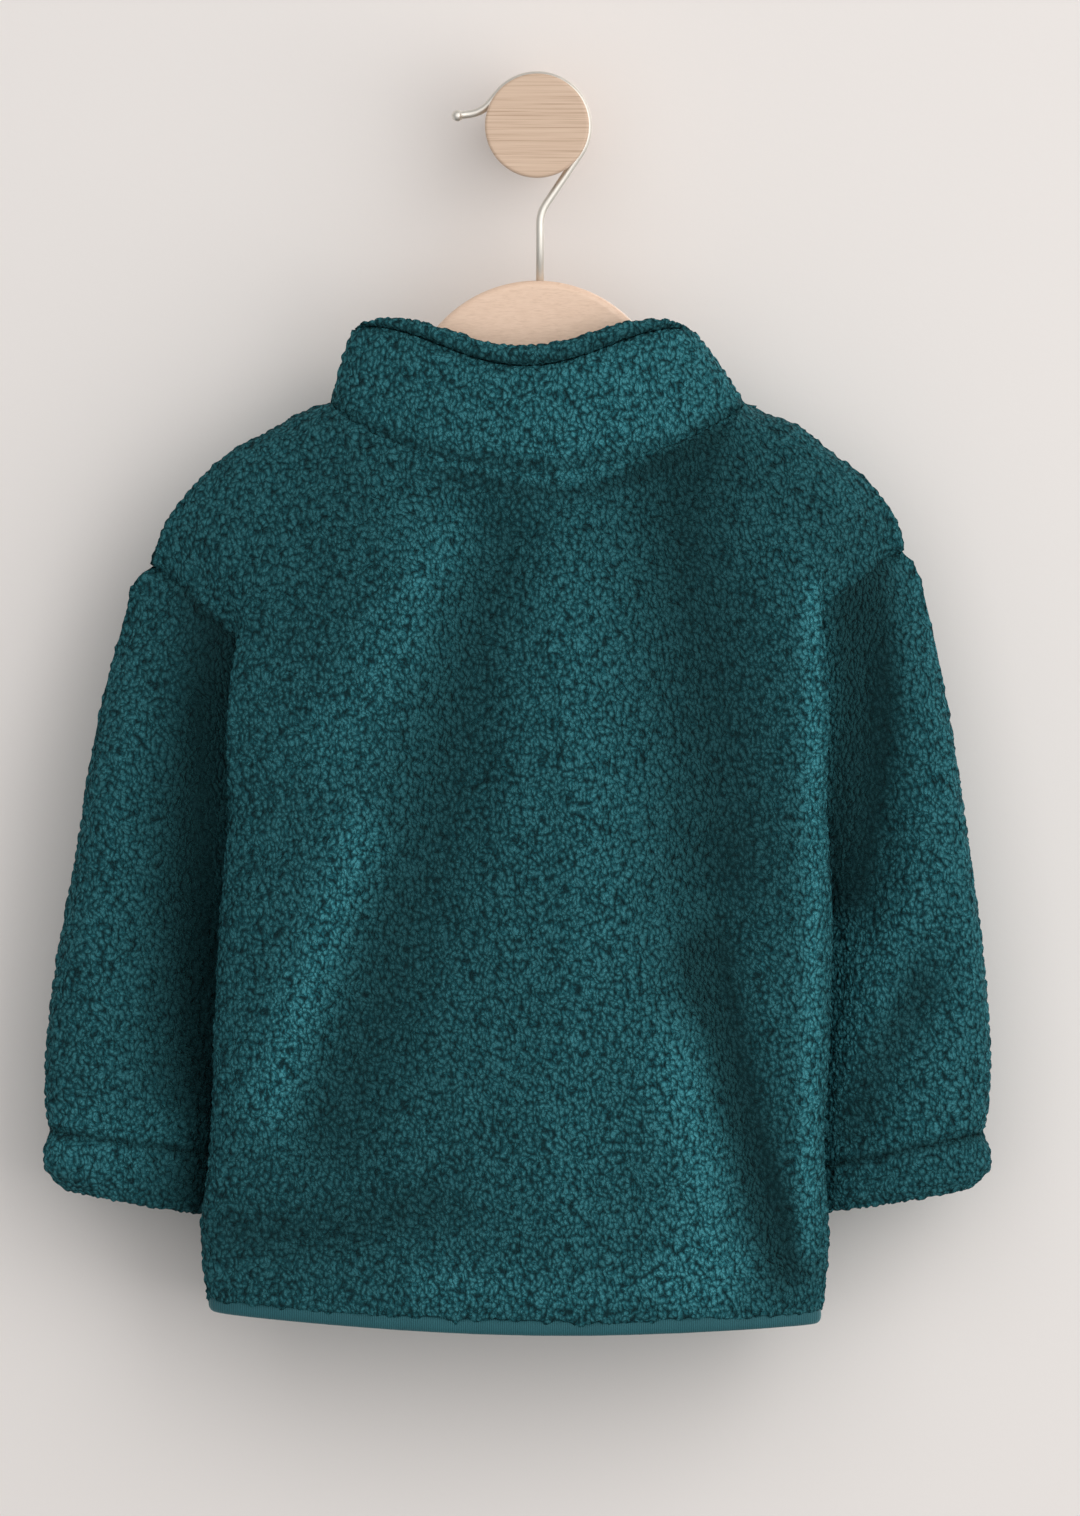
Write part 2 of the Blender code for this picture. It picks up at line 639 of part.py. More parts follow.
def front_line(up, hand):
    """One line of a front, from the zip to the side."""
    row = torso_row(FRONT, up)
    middle = (row[0, 0] + row[-1, 0]) / 2
    ways = {"left": -1, "right": 1}
    edge = middle + ways[hand] * ZIP_HALF_WIDTH
    kept = row[(row[:, 0] - edge) * ways[hand] > 0.0003]
    start = np.array([edge, np.interp(edge, row[:, 0], row[:, 1]), 0.0])
    start[2] = np.interp(edge, row[:, 0], row[:, 2])
    if hand == "left":
        kept = kept[::-1]
    return np.concatenate([start[None], kept])


def front_piece(hand):
    way = -1 if hand == "left" else 1
    top = front_line(1.0, hand)
    run = lengths(top)
    neck = float(np.interp(NECK_HALF_WIDTH, way * top[:, 0], run)) / run[-1]
    shares = np.concatenate(
        [neck * HALF_NECK_SHARES[:-1], neck + (1 - neck) * SHOULDER_SHARES]
    )
    grid = np.stack([along(front_line(up, hand), shares) for up in BODY_UPS])
    grid = grid if hand == "left" else grid[:, ::-1]
    return piece_of(grid, end=top_dips(grid))


# ---------------------------------------------------------------- sleeves and cuffs


ARM_UPS = BODY_UPS[BODY_UPS >= UNDERARM][::-1]
RING_SHARES = np.linspace(0, 1, len(ARM_UPS))
SLEEVE_DOWNS = np.concatenate([[0.0, 0.013, 0.04], np.linspace(0.10, 0.92, 10), [0.97, 1.0]])
CUFF_DOWNS = np.array([0.0, 0.10, 0.35, 0.75, 0.92, 1.0])


def half_rings(both, hand):
    """A loop of the room's half and the wall's half, ordered to turn its faces outwards."""
    loop = np.concatenate([both[0][:-1], both[1][:0:-1]])
    return loop if hand == "right" else np.concatenate([loop[:1], loop[:0:-1]])


def armhole(hand):
    """The armhole's two edges, from the shoulder's tip down to the underarm."""
    return [side_edge(face, hand, ARM_UPS) for face in (BACK, FRONT)]


def tube_halves(sections, at, shares):
    """The two halves of a sleeve's section, from its outer point to its inner one."""
    outer, inner = (
        np.array([smooth(sections["down"], sections[f"{side}_{k}"], at) for k in "xyz"])
        for side in ("outer", "inner")
    )
    half = smooth(sections["down"], sections["half"], at)
    angle = np.linspace(0, math.pi, 121)[:, None]
    flat = (outer + inner) / 2 + (outer - inner) / 2 * np.cos(angle)
    bow = np.array([0.0, half, 0.0]) * np.clip(np.sin(angle), 0, 1) ** 0.85
    lean = 1 - smooth(sections["down"], sections["lean"], at) * ((1 - np.cos(angle)) / 2) ** 1.5
    return [along(flat - bow * lean, shares[0]), along(flat + bow, shares[1])]


def sleeve_grid(sections, hand, downs):
    edges = armhole(hand)
    centre = (edges[0][0] + edges[0][-1]) / 2
    own = [lengths(edge) / lengths(edge)[-1] for edge in edges]
    rows = []
    for down in downs:
        blend = ease(down / ARMHOLE_BLEND)
        shares = [at * (1 - blend) + RING_SHARES * blend for at in own]
        halves = tube_halves(sections, down, shares)
        middle = (halves[0][0] + halves[0][-1]) / 2
        both = [
            middle + (edge - centre) * (1 - blend) + (half - middle) * blend
            for edge, half in zip(edges, halves)
        ]
        row = half_rings(both, hand)
        lift = fold_height(FOLDS_SLEEVES, row[:, 0], row[:, 2])
        lift *= ease(down / 0.15) * ease((1 - down) / 0.08)
        row[:, 1] -= lift * np.clip((middle[1] - row[:, 1]) / 0.02, -1.0, 1.0)
        rows.append(row)
    return np.stack(rows)


def sleeve_piece(sections, hand):
    return piece_of(sleeve_grid(sections, hand, SLEEVE_DOWNS), closed=True)


def cuff_piece(sections, hand):
    shares = [RING_SHARES, RING_SHARES]
    rows = [half_rings(tube_halves(sections, down, shares), hand) for down in CUFF_DOWNS]
    return piece_of(np.stack(rows), True, CUFF_THICKNESS, free=("end",), end=0.0)


# ---------------------------------------------------------------- collar


def neck_loop():
    """The panels' neckline points, from the zip round the left of the neck and the back."""
    ends = []
    for hand, way in (("left", -1), ("right", 1)):
        line = front_line(1.0, hand)
        neck = np.interp(NECK_HALF_WIDTH, way * line[:, 0], lengths(line)) / lengths(line)[-1]
        ends.append(along(line, neck * HALF_NECK_SHARES))
    back = torso_row(BACK, 1.0)
    left, right = (neck_share(back, side * NECK_HALF_WIDTH) for side in (-1, 1))
    middle = along(back, left + (right - left) * NECK_SHARES)
    return np.concatenate([ends[0][:-1], middle, ends[1][-2::-1]])


def place_round(base):
    """1 at the middle of the back of the neck, 0 at its sides and -1 at the zip."""
    turn = np.clip(base[:, 0] / NECK_HALF_WIDTH, -1, 1)
    return np.where(base[:, 1] < HANG_Y, 1.0, -1.0) * np.sqrt(1 - turn**2)


def collar_face(base, heights):
    """The collar's outer face above its seam, for each height from 0 to 1."""
    where = place_round(base)
    from_zip = base[:, 0] - (base[0, 0] + base[-1, 0]) / 2
    zip_kept = np.clip(from_zip, -ZIP_HALF_WIDTH, ZIP_HALF_WIDTH) * (1 - COLLAR_TOP_WIDTH)
    zip_kept *= np.where(where < 0, np.exp(-((from_zip / 0.03) ** 4)), 0.0)
    top = base.copy()
    top[:, 0] = base[:, 0] * COLLAR_TOP_WIDTH + COLLAR_TOP_SHIFT + zip_kept
    top[:, 1] = HANG_Y + (base[:, 1] - HANG_Y) * COLLAR_TOP_DEPTH
    top[:, 2] = base[:, 2] + smooth(COLLAR_RISE["place"], COLLAR_RISE["rise"], where)
    out = base - np.array([0.0, HANG_Y, 0.0])
    out[:, 2] = 0.0
    out /= np.linalg.norm(out, axis=1, keepdims=True)
    return np.stack(
        [base + (top - base) * h + out * COLLAR_BULGE * 4 * h * (1 - h) for h in heights]
    )


def at_heights(whole, heights):
    """The points of a finely stepped face, at one height for each of its columns."""
    steps = np.linspace(0, 1, len(whole))
    return np.stack(
        [
            [np.interp(height, steps, whole[:, c, k]) for k in range(3)]
            for c, height in enumerate(heights)
        ]
    )


def collar_piece():
    base = neck_loop()
    crease = smooth(COLLAR_CREASE["place"], COLLAR_CREASE["share"], place_round(base))
    whole = collar_face(base, np.linspace(0, 1, 41))
    grid = np.stack([at_heights(whole, level * crease) for level in COLLAR_LEVELS])
    return piece_of(grid, thickness=COLLAR_THICKNESS, end=0.0012)


def build_collar_lining():
    """The inner collar: a wall inside the outer one, rolled out over its top edge."""
    base = neck_loop()
    for end, beside in ((0, 1), (-1, -2)):
        along_edge = base[beside] - base[end]
        along_edge *= (TAPE_HALF_WIDTH - ZIP_HALF_WIDTH + TAPE_CLEARANCE) / np.linalg.norm(along_edge)
        base[end] += along_edge
    crease = smooth(COLLAR_CREASE["place"], COLLAR_CREASE["share"], place_round(base))
    whole = collar_face(base, np.linspace(0, 1, 41))
    normals = outward(whole, closed=False)
    inside = COLLAR_THICKNESS + SEAM_GAP * 2
    foot, middle, top = (np.full(len(base), share) for share in (0.03, 0.45, 1.0))
    low = crease + 0.020  # where the roll starts, just above the outer collar's edge
    profile = (  # the height, and the depth below the outer face
        (foot, inside + COLLAR_LINING),
        (foot, inside),
        (low - 0.02, inside),
        (low, 0.0022),
        (low + (1 - low) * 0.25, 0.0004),
        (low + (1 - low) * 0.65, 0.0006),
        (top, 0.0032),
        (top, inside + 0.0015),
        (low, inside + COLLAR_LINING + 0.0006),
        (middle, inside + COLLAR_LINING),
    )
    rows = [
        at_heights(whole, heights) - at_heights(normals, heights) * depth
        for heights, depth in profile
    ]
    swept("collar_lining", list(np.stack(rows, axis=1)), FLEECE, flip=True)


# ---------------------------------------------------------------- hem binding


def build_hem_binding():
    """The stretch binding round the hem, from one edge of the zip to the other."""
    left, right = front_line(0.0, "left"), front_line(0.0, "right")
    loop = np.concatenate([left, torso_row(BACK, 0.0)[1:-1], right[::-1]])
    line = along(loop, np.linspace(0.002, 0.998, 62))
    ahead = np.gradient(line, axis=0)
    out = np.cross(ahead, np.array([0.0, 0.0, 1.0]))
    out /= np.linalg.norm(out, axis=1, keepdims=True)
    down = np.array([0.0, 0.0, -1.0])
    top = SEAM_GAP
    profile = (  # depth below the pile's face, and height below the fleece's edge
        (0.0026, top),
        (0.0018, 0.0030),
        (0.0022, 0.0060),
        (0.0040, 0.0075),
        (0.0058, 0.0060),
        (0.0060, 0.0030),
        (0.0052, top),
    )
    sections = [
        np.array([line[i] - out[i] * depth + down * drop for depth, drop in profile])
        for i in range(len(line))
    ]
    swept("hem_binding", sections, BINDING)


# ---------------------------------------------------------------- zip


def zip_line():
    """The zip's middle line on the pile's face, from the hem to near the collar's top."""
    body = [
        (front_line(up, "left")[0] + front_line(up, "right")[0]) / 2
        for up in np.linspace(0, 1, 60)[:-1]
    ]
    collar = collar_face(neck_loop(), np.linspace(0.08, 0.93, 12))
    return np.concatenate([np.array(body), (collar[:, 0] + collar[:, -1]) / 2])


def zip_frames(count, start=0.0, end=1.0):
    """Places along the zip with their outward directions, which have no sideways part."""
    line = along(zip_line(), np.linspace(start, end, count))
    ahead = np.gradient(line, axis=0)
    ahead /= np.linalg.norm(ahead, axis=1, keepdims=True)
    out = np.cross(ahead, np.array([1.0, 0.0, 0.0]))
    out = np.where(out[:, 1:2] < 0, -out, out)
    return line, out / np.linalg.norm(out, axis=1, keepdims=True)


def strip(name, look, low_x, high_x, outer, inner, start=0.0, end=1.0):
    """A flat strip along the zip, between two distances from its middle and two depths."""
    line, out = zip_frames(27, start, end)
    side = np.array([1.0, 0.0, 0.0])
    sections = [
        np.array(
            [
                p + side * low_x - n * outer,
                p + side * high_x - n * outer,
                p + side * high_x - n * inner,
                p + side * low_x - n * inner,
            ]
        )
        for p, n in zip(line, out)
    ]
    swept(name, sections, look, flip=True)


TAPE_DEPTH = 0.0042  # the tapes' faces lie this far below the pile's face
CHAIN_FACE = 0.0030
CHAIN_BACK = 0.0056
CHAIN_END = 0.985  # share of the zip's length at which the closed slider ends the chain
SLIDER_LENGTH = 0.0105
SLIDER_HALF_WIDTH = 0.0042
SLIDER_PLATE = 0.0012
PULL_LENGTH = 0.019
PULL_WIDTH = 0.0064
PULL_THICKNESS = 0.0014
BRIDGE_RADIUS = 0.0006


def box(name, low, high, look=None):
    """A block between two corners, in its own frame."""
    bm = bmesh.new()
    bmesh.ops.create_cube(bm, size=1.0)
    for vert in bm.verts:
        vert.co = [
            low[k] + (high[k] - low[k]) * (vert.co[k] + 0.5) for k in range(3)
        ]
    mesh = bpy.data.meshes.new(name)
    bm.to_mesh(mesh)
    bm.free()
    obj = bpy.data.objects.new(name, mesh)
    if look:
        return place(obj, look)
    return obj


def zip_empty(share):
    """An empty on the zip whose X runs sideways, Y out of the front and Z up the zip."""
    count = 400
    line, out = zip_frames(count)
    index = int(share * (count - 1))
    x, y = Vector((1.0, 0.0, 0.0)), Vector(out[index])
    empty = bpy.data.objects.new("zip_place", None)
    PARTS.objects.link(empty)
    turned = Matrix((x, y, x.cross(y))).transposed().to_4x4()
    empty.matrix_world = Matrix.Translation(line[index]) @ turned
    return empty


def build_zip():
    edge, half = TAPE_HALF_WIDTH, CHAIN_HALF_WIDTH
    inner = half + SEAM_GAP
    back = TAPE_DEPTH + TAPE_THICKNESS
    strip("zip_tape_left", TAPE, -edge, -inner, TAPE_DEPTH, back)
    strip("zip_tape_right", TAPE, inner, edge, TAPE_DEPTH, back)
    strip("zip_chain", CHAIN, -half, half, CHAIN_FACE, CHAIN_BACK, 0.004, CHAIN_END)
    build_slider()


def build_slider():
    """The slider's upper plate with its bridge, above the chain's end, and the pull tab on it."""
    place_on_zip = zip_empty(CHAIN_END - 0.012)
    face = -CHAIN_FACE + SEAM_GAP
    half = SLIDER_LENGTH / 2
    top = face + SLIDER_PLATE
    slider = box(
        "zip_slider",
        (-SLIDER_HALF_WIDTH, face, -half),
        (SLIDER_HALF_WIDTH, top, half),
        METAL,
    )
    bevel = slider.modifiers.new("rounded corners", "BEVEL")
    bevel.width = 0.0012
    bevel.segments = 2
    bevel.affect = "EDGES"
    bevel.limit_method = "ANGLE"
    bridge = build_bridge(top)
    boolean(slider, bridge, "UNION")
    for obj in (slider, bridge):
        obj.parent = place_on_zip
    build_pull(place_on_zip, top)


BRIDGE_HEIGHT = 0.0036
BRIDGE_HALF_LENGTH = 0.0034
EYE_TOP = 0.0013  # from the pull tab's pivot up to its upper end
EYE_BAR = 0.00085  # of that, the bar above the eye
EYE_BOTTOM = 0.0050


def build_bridge(top):
    """The wire arch along the slider, which the pull tab's eye goes round."""
    curve = bpy.data.curves.new("slider_bridge", "CURVE")
    curve.dimensions = "3D"
    curve.bevel_depth = BRIDGE_RADIUS
    curve.bevel_resolution = 1
    curve.use_fill_caps = True
    spline = curve.splines.new("POLY")
    angles = np.linspace(0, math.pi, 9)
    spline.points.add(len(angles) - 1)
    for point, angle in zip(spline.points, angles):
        rise = (BRIDGE_HEIGHT + 0.0006) * math.sin(angle) ** 0.7
        point.co = (0.0, top - 0.0006 + rise, BRIDGE_HALF_LENGTH * math.cos(angle), 1.0)
    obj = bpy.data.objects.new("slider_bridge", curve)
    obj.data.materials.append(METAL)
    PARTS.objects.link(obj)
    bpy.context.view_layer.update()
    return cutter(as_mesh(obj))


def build_pull(place_on_zip, top):
    """The pull tab: a plate with an eye round the bridge, hung down over the chain."""
    pivot = top + BRIDGE_HEIGHT - BRIDGE_RADIUS - SEAM_GAP - PULL_THICKNESS / 2
    plate = box(
        "zip_pull",
        (-PULL_WIDTH / 2, -PULL_THICKNESS / 2, -PULL_LENGTH),
        (PULL_WIDTH / 2, PULL_THICKNESS / 2, EYE_TOP),
        METAL,
    )
    bevel = plate.modifiers.new("rounded corners", "BEVEL")
    bevel.width = 0.0004
    bevel.segments = 2
    half = BRIDGE_RADIUS + 0.0006
    hole = box("pull_eye", (-half, -0.01, -EYE_BOTTOM), (half, 0.01, EYE_TOP - EYE_BAR))
    cutter(hole)
    boolean(plate, hole, "DIFFERENCE")
    for obj in (plate, hole):
        obj.parent = place_on_zip
        obj.location = (0.0, pivot, 0.0)


# ---------------------------------------------------------------- hanger, hook and peg


def hanger_top(x):
    """The height of the hanger's top edge."""
    crown = CROWN_TOP_Z - CROWN_RADIUS + np.sqrt(np.maximum(CROWN_RADIUS**2 - x**2, 0.0))
    return float(np.where(x < CROWN_END_X, crown, smooth(HANGER_ARM["x"], HANGER_ARM["z"], x)))


def hanger_outline():
    """The hanger's outline, clockwise from the middle of the top edge."""
    top_x = np.linspace(0, HANGER_ARM["x"][-1], 30)
    bottom_x = np.linspace(HANGER_BOTTOM["x"][-1], 0, 9)
    right = [(x, hanger_top(x)) for x in top_x]
    right += [
        (x, float(smooth(HANGER_BOTTOM["x"], HANGER_BOTTOM["z"], x))) for x in bottom_x
    ]
    left = [(-x, z) for x, z in right[1:-1]][::-1]
    return right + left


def build_hanger():
    edge = 0.0028
    curve = bpy.data.curves.new("hanger", "CURVE")
    curve.dimensions = "2D"
    curve.fill_mode = "BOTH"
    curve.extrude = HANGER_THICKNESS / 2 - edge
    curve.bevel_depth = edge
    curve.bevel_resolution = 1
    curve.offset = -edge
    spline = curve.splines.new("POLY")
    outline = hanger_outline()
    spline.points.add(len(outline) - 1)
    for point, (x, z) in zip(spline.points, outline):
        point.co = (x, z, 0.0, 1.0)
    spline.use_cyclic_u = True
    obj = bpy.data.objects.new("hanger", curve)
    obj.data.materials.append(WOOD)
    PARTS.objects.link(obj)
    obj.rotation_euler = (math.pi / 2, 0, 0)
    obj.location = (0, HANG_Y, 0)
    bpy.context.view_layer.update()
    wood = as_mesh(obj)
    bpy.ops.mesh.primitive_cylinder_add(
        vertices=16,
        radius=WIRE_RADIUS + SEAM_GAP,
        depth=HOOK_IN_WOOD + 0.006,
        location=(
            HOOK_X,
            HANG_Y,
            CROWN_TOP_Z - HOOK_IN_WOOD / 2 + 0.003 - SEAM_GAP,
        ),
    )
    hole = bpy.context.object
    hole.name = "hook_hole"
    boolean(wood, cutter(hole), "DIFFERENCE")


def rounded(points, radius, steps=5):
    """A line with its corners turned into arcs."""
    made = [points[0]]
    for before, here, after in zip(points, points[1:], points[2:]):
        reach = min(radius, (here - before).length / 2, (after - here).length / 2)
        start = here + (before - here).normalized() * reach
        end = here + (after - here).normalized() * reach
        for k in range(steps + 1):
            t = k / steps
            made.append(start * (1 - t) ** 2 + here * 2 * t * (1 - t) + end * t**2)
    return made + [points[-1]]


def hook_points():
    """The wire's line: out of the wood, aside, round over the peg and down to its free end."""
    foot_z = CROWN_TOP_Z - HOOK_IN_WOOD + SEAM_GAP
    leave = math.radians(-32)  # where the wire comes onto its round part
    stop = math.radians(140)  # and where it leaves it again
    stem = [
        Vector((HOOK_X, HANG_Y, foot_z)),
        Vector((HOOK_X, HANG_Y, HOOK_STEM_TOP_Z)),
        Vector((HOOK_RADIUS * math.cos(leave), HANG_Y, HOOK_RADIUS * math.sin(leave))),
    ]
    line = rounded(stem, 0.008)
    for k in range(1, 25):
        angle = leave + (stop - leave) * k / 24
        line.append(
            Vector((HOOK_RADIUS * math.cos(angle), HANG_Y, HOOK_RADIUS * math.sin(angle)))
        )
    down = Vector((math.cos(stop + math.pi / 2), 0, math.sin(stop + math.pi / 2)))
    turn = line[-1] + down * 0.011
    tail = [line[-1], turn, Vector((-0.0350, HANG_Y, 0.0046))]
    return line[:-1] + rounded(tail, 0.006)


def build_hook():
    curve = bpy.data.curves.new("hook", "CURVE")
    curve.dimensions = "3D"
    curve.bevel_depth = WIRE_RADIUS
    curve.bevel_resolution = 2
    curve.use_fill_caps = True
    line = hook_points()
    spline = curve.splines.new("POLY")
    spline.points.add(len(line) - 1)
    for point, spot in zip(spline.points, line):
        point.co = (*spot, 1.0)
    obj = bpy.data.objects.new("hook", curve)
    obj.data.materials.append(METAL)
    PARTS.objects.link(obj)
    bpy.context.view_layer.update()
    wire = as_mesh(obj)
    end, before = line[-1], line[-2]
    bpy.ops.mesh.primitive_uv_sphere_add(
        segments=14, ring_count=8, radius=WIRE_RADIUS * 1.45, location=end
    )
    tip = bpy.context.object
    tip.name = "hook_tip"
    tip.rotation_euler = (end - before).to_track_quat("Z", "Y").to_euler()
    boolean(wire, cutter(tip), "UNION")


def build_peg():
    """The turned wall peg: a flat head, a seat for the hook behind it and a stem to the wall."""
    edge = 0.0011
    seat_start, seat_end = 0.0580, 0.0500
    stem_foot = 0.0165
    profile = [(0.0, PEG_LENGTH)]
    for k in range(4):
        angle = math.pi / 2 * k / 3
        profile.append(
            (
                PEG_HEAD_RADIUS - edge + edge * math.sin(angle),
                PEG_LENGTH - edge + edge * math.cos(angle),
            )
        )
    profile += [
        (PEG_HEAD_RADIUS, seat_start + edge),
        (PEG_HEAD_RADIUS - edge, seat_start),
        (PEG_SEAT_RADIUS, seat_start),
        (PEG_SEAT_RADIUS, seat_end),
        (stem_foot, 0.0),
        (0.0, 0.0),
    ]
    mesh = bpy.data.meshes.new("wall_peg")
    mesh.from_pydata(
        [(r, 0.0, z) for r, z in profile],
        [(k, k + 1) for k in range(len(profile) - 1)],
        [],
    )
    obj = place(bpy.data.objects.new("wall_peg", mesh), WOOD)
    obj.rotation_euler = (math.pi / 2, 0, 0)
    screw = obj.modifiers.new("turned", "SCREW")
    screw.axis = "Z"
    screw.steps = screw.render_steps = 40
    screw.use_merge_vertices = True
    screw.merge_threshold = 0.00001
    screw.use_smooth_shade = True


# ---------------------------------------------------------------- the whole thing

for old in list(bpy.data.objects):
    bpy.data.objects.remove(old)

PARTS = bpy.data.collections.new("fleece_jacket")
CUTTERS = bpy.data.collections.new("cutters")
for group in (PARTS, CUTTERS):
    bpy.context.scene.collection.children.link(group)

FLEECE = material("pile fleece", (0.018, 0.105, 0.125), 0.95)
BINDING = material("stretch binding", (0.030, 0.190, 0.215), 0.75)
TAPE = material("zip tape", (0.020, 0.130, 0.150), 0.85)
CHAIN = material("zip teeth", (0.025, 0.150, 0.170), 0.45)
METAL = material("nickelled metal", (0.62, 0.60, 0.56), 0.32, 1.0)
WOOD = material("pale beech", (0.60, 0.42, 0.28), 0.60)

pieces = {
    "back": back_piece(),
    "front_left": front_piece("left"),
    "front_right": front_piece("right"),
    "sleeve_left": sleeve_piece(SLEEVE_LEFT, "left"),
    "sleeve_right": sleeve_piece(SLEEVE_RIGHT, "right"),
    "cuff_left": cuff_piece(CUFF_LEFT, "left"),
    "cuff_right": cuff_piece(CUFF_RIGHT, "right"),
    "collar": collar_piece(),
}
stitch(pieces)
for piece_name, cloth_piece in pieces.items():
    cloth(piece_name, cloth_piece)
build_collar_lining()
build_hem_binding()
build_zip()
build_hanger()
build_hook()
build_peg()
bpy.context.view_layer.update()
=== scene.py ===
"""Child's zip-up pile fleece jacket, hung with its back to the room on a wooden hanger and a wall peg."""

import math

import bpy
import numpy as np
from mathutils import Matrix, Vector


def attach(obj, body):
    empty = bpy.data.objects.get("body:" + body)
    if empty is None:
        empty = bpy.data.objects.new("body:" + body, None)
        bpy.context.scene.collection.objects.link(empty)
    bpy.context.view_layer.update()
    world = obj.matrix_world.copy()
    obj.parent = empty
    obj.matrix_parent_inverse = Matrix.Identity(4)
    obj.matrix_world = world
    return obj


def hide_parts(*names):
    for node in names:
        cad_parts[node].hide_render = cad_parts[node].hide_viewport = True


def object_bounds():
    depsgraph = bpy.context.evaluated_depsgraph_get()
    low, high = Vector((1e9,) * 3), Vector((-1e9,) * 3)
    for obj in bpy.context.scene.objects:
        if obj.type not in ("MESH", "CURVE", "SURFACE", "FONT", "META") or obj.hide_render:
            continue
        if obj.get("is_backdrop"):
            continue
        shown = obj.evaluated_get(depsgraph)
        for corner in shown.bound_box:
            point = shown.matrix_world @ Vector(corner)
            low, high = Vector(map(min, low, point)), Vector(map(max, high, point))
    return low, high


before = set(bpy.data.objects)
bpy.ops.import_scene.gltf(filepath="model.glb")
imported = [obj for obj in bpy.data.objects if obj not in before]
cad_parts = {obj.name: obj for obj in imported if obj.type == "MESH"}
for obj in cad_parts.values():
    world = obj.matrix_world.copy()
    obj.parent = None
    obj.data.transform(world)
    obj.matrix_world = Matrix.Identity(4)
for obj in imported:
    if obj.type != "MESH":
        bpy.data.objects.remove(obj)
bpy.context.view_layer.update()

# ---------------------------------------------------------------- camera, wall and light
# The camera stands twelve metres off and looks straight at the wall, which is painted plaster.
# Soft daylight comes from a wide window on the right, and the room beside it fills the shadows.

HANG_Y = -0.0555  # the plane of the hook, the hanger and the shoulder seams
PICTURE_X = 0.0013  # the middle of the picture
PICTURE_Z = -0.278
PICTURE_HEIGHT = 0.667  # what it takes in at the hanger's plane
CAMERA_DISTANCE = 12.0
SENSOR = 36
WALL_GAP = 0.0006  # how far the wall stands behind the peg's foot
JACKET_MIDDLE = (0.0, -0.05, -0.28)

camera = bpy.data.objects.new("camera", bpy.data.cameras.new("camera"))
camera.location = (PICTURE_X, HANG_Y - CAMERA_DISTANCE, PICTURE_Z)
camera.rotation_euler = (math.radians(90), 0, 0)
camera.data.sensor_width = SENSOR
camera.data.lens = SENSOR * CAMERA_DISTANCE / PICTURE_HEIGHT
bpy.context.scene.collection.objects.link(camera)
bpy.context.scene.camera = camera


def shader_node(material, kind, inputs=(), **settings):
    """Adds a node to a material. Each input is given a value or another node's output."""
    node = material.node_tree.nodes.new("ShaderNode" + kind)
    for name, value in settings.items():
        setattr(node, name, value)
    for name, value in dict(inputs).items():
        if isinstance(value, bpy.types.NodeSocket):
            material.node_tree.links.new(value, node.inputs[name])
        else:
            node.inputs[name].default_value = value
    return node.outputs


def finish(name, inputs):
    """A new material with these plain values, and its output for places on the object."""
    material = bpy.data.materials.new(name)
    material.use_nodes = True
    for key, value in inputs.items():
        material.node_tree.nodes["Principled BSDF"].inputs[key].default_value = value
    return material, shader_node(material, "TexCoord")["Object"]


def wire_up(material, **outputs):
    """Joins outputs to the shader's own sockets."""
    shader = material.node_tree.nodes["Principled BSDF"]
    for key, output in outputs.items():
        material.node_tree.links.new(output, shader.inputs[key.replace("_", " ")])
    return material


plaster, on_wall = finish("painted plaster", {"Roughness": 0.9, "Specular IOR Level": 0.2})
roller = shader_node(plaster, "TexNoise", {"Vector": on_wall, "Scale": 260, "Detail": 2})
clouds = shader_node(plaster, "TexNoise", {"Vector": on_wall, "Scale": 1.3, "Detail": 1})
paint = shader_node(
    plaster,
    "Mix",
    {"Factor": clouds["Fac"], "A": (0.80, 0.765, 0.745, 1), "B": (0.83, 0.80, 0.78, 1)},
    data_type="RGBA",
)
stipple = shader_node(
    plaster, "Bump", {"Height": roller["Fac"], "Strength": 0.06, "Distance": 0.0008}
)
wire_up(plaster, Base_Color=paint["Result"], Normal=stipple["Normal"])
# From behind, the wall is clear and lets a lamp's light in, so that the jacket's front, which hangs
# against it, can be looked at too.
clear = shader_node(
    plaster,
    "Math",
    {
        0: shader_node(plaster, "NewGeometry")["Backfacing"],
        1: shader_node(plaster, "LightPath")["Is Shadow Ray"],
    },
    operation="MAXIMUM",
)
sides = {
    0: clear["Value"],
    1: plaster.node_tree.nodes["Principled BSDF"].outputs[0],
    2: shader_node(plaster, "BsdfTransparent")["BSDF"],
}
plaster.node_tree.links.new(
    shader_node(plaster, "MixShader", sides)[0],
    plaster.node_tree.nodes["Material Output"].inputs["Surface"],
)

bpy.ops.mesh.primitive_plane_add(size=9, location=(0, WALL_GAP, 0))
wall = bpy.context.object
wall.rotation_euler = (math.radians(90), 0, 0)
wall.name = "wall"
wall.data.materials.append(plaster)
wall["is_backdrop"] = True


def soft_light(name, place, size, power, colour):
    """A square lamp that is turned to the jacket."""
    lamp = bpy.data.lights.new(name, "AREA")
    lamp.size = size
    lamp.energy = power
    lamp.color = colour
    obj = bpy.data.objects.new(name, lamp)
    obj.location = place
    obj.rotation_euler = (Vector(JACKET_MIDDLE) - Vector(place)).to_track_quat("-Z", "Y").to_euler()
    bpy.context.scene.collection.objects.link(obj)


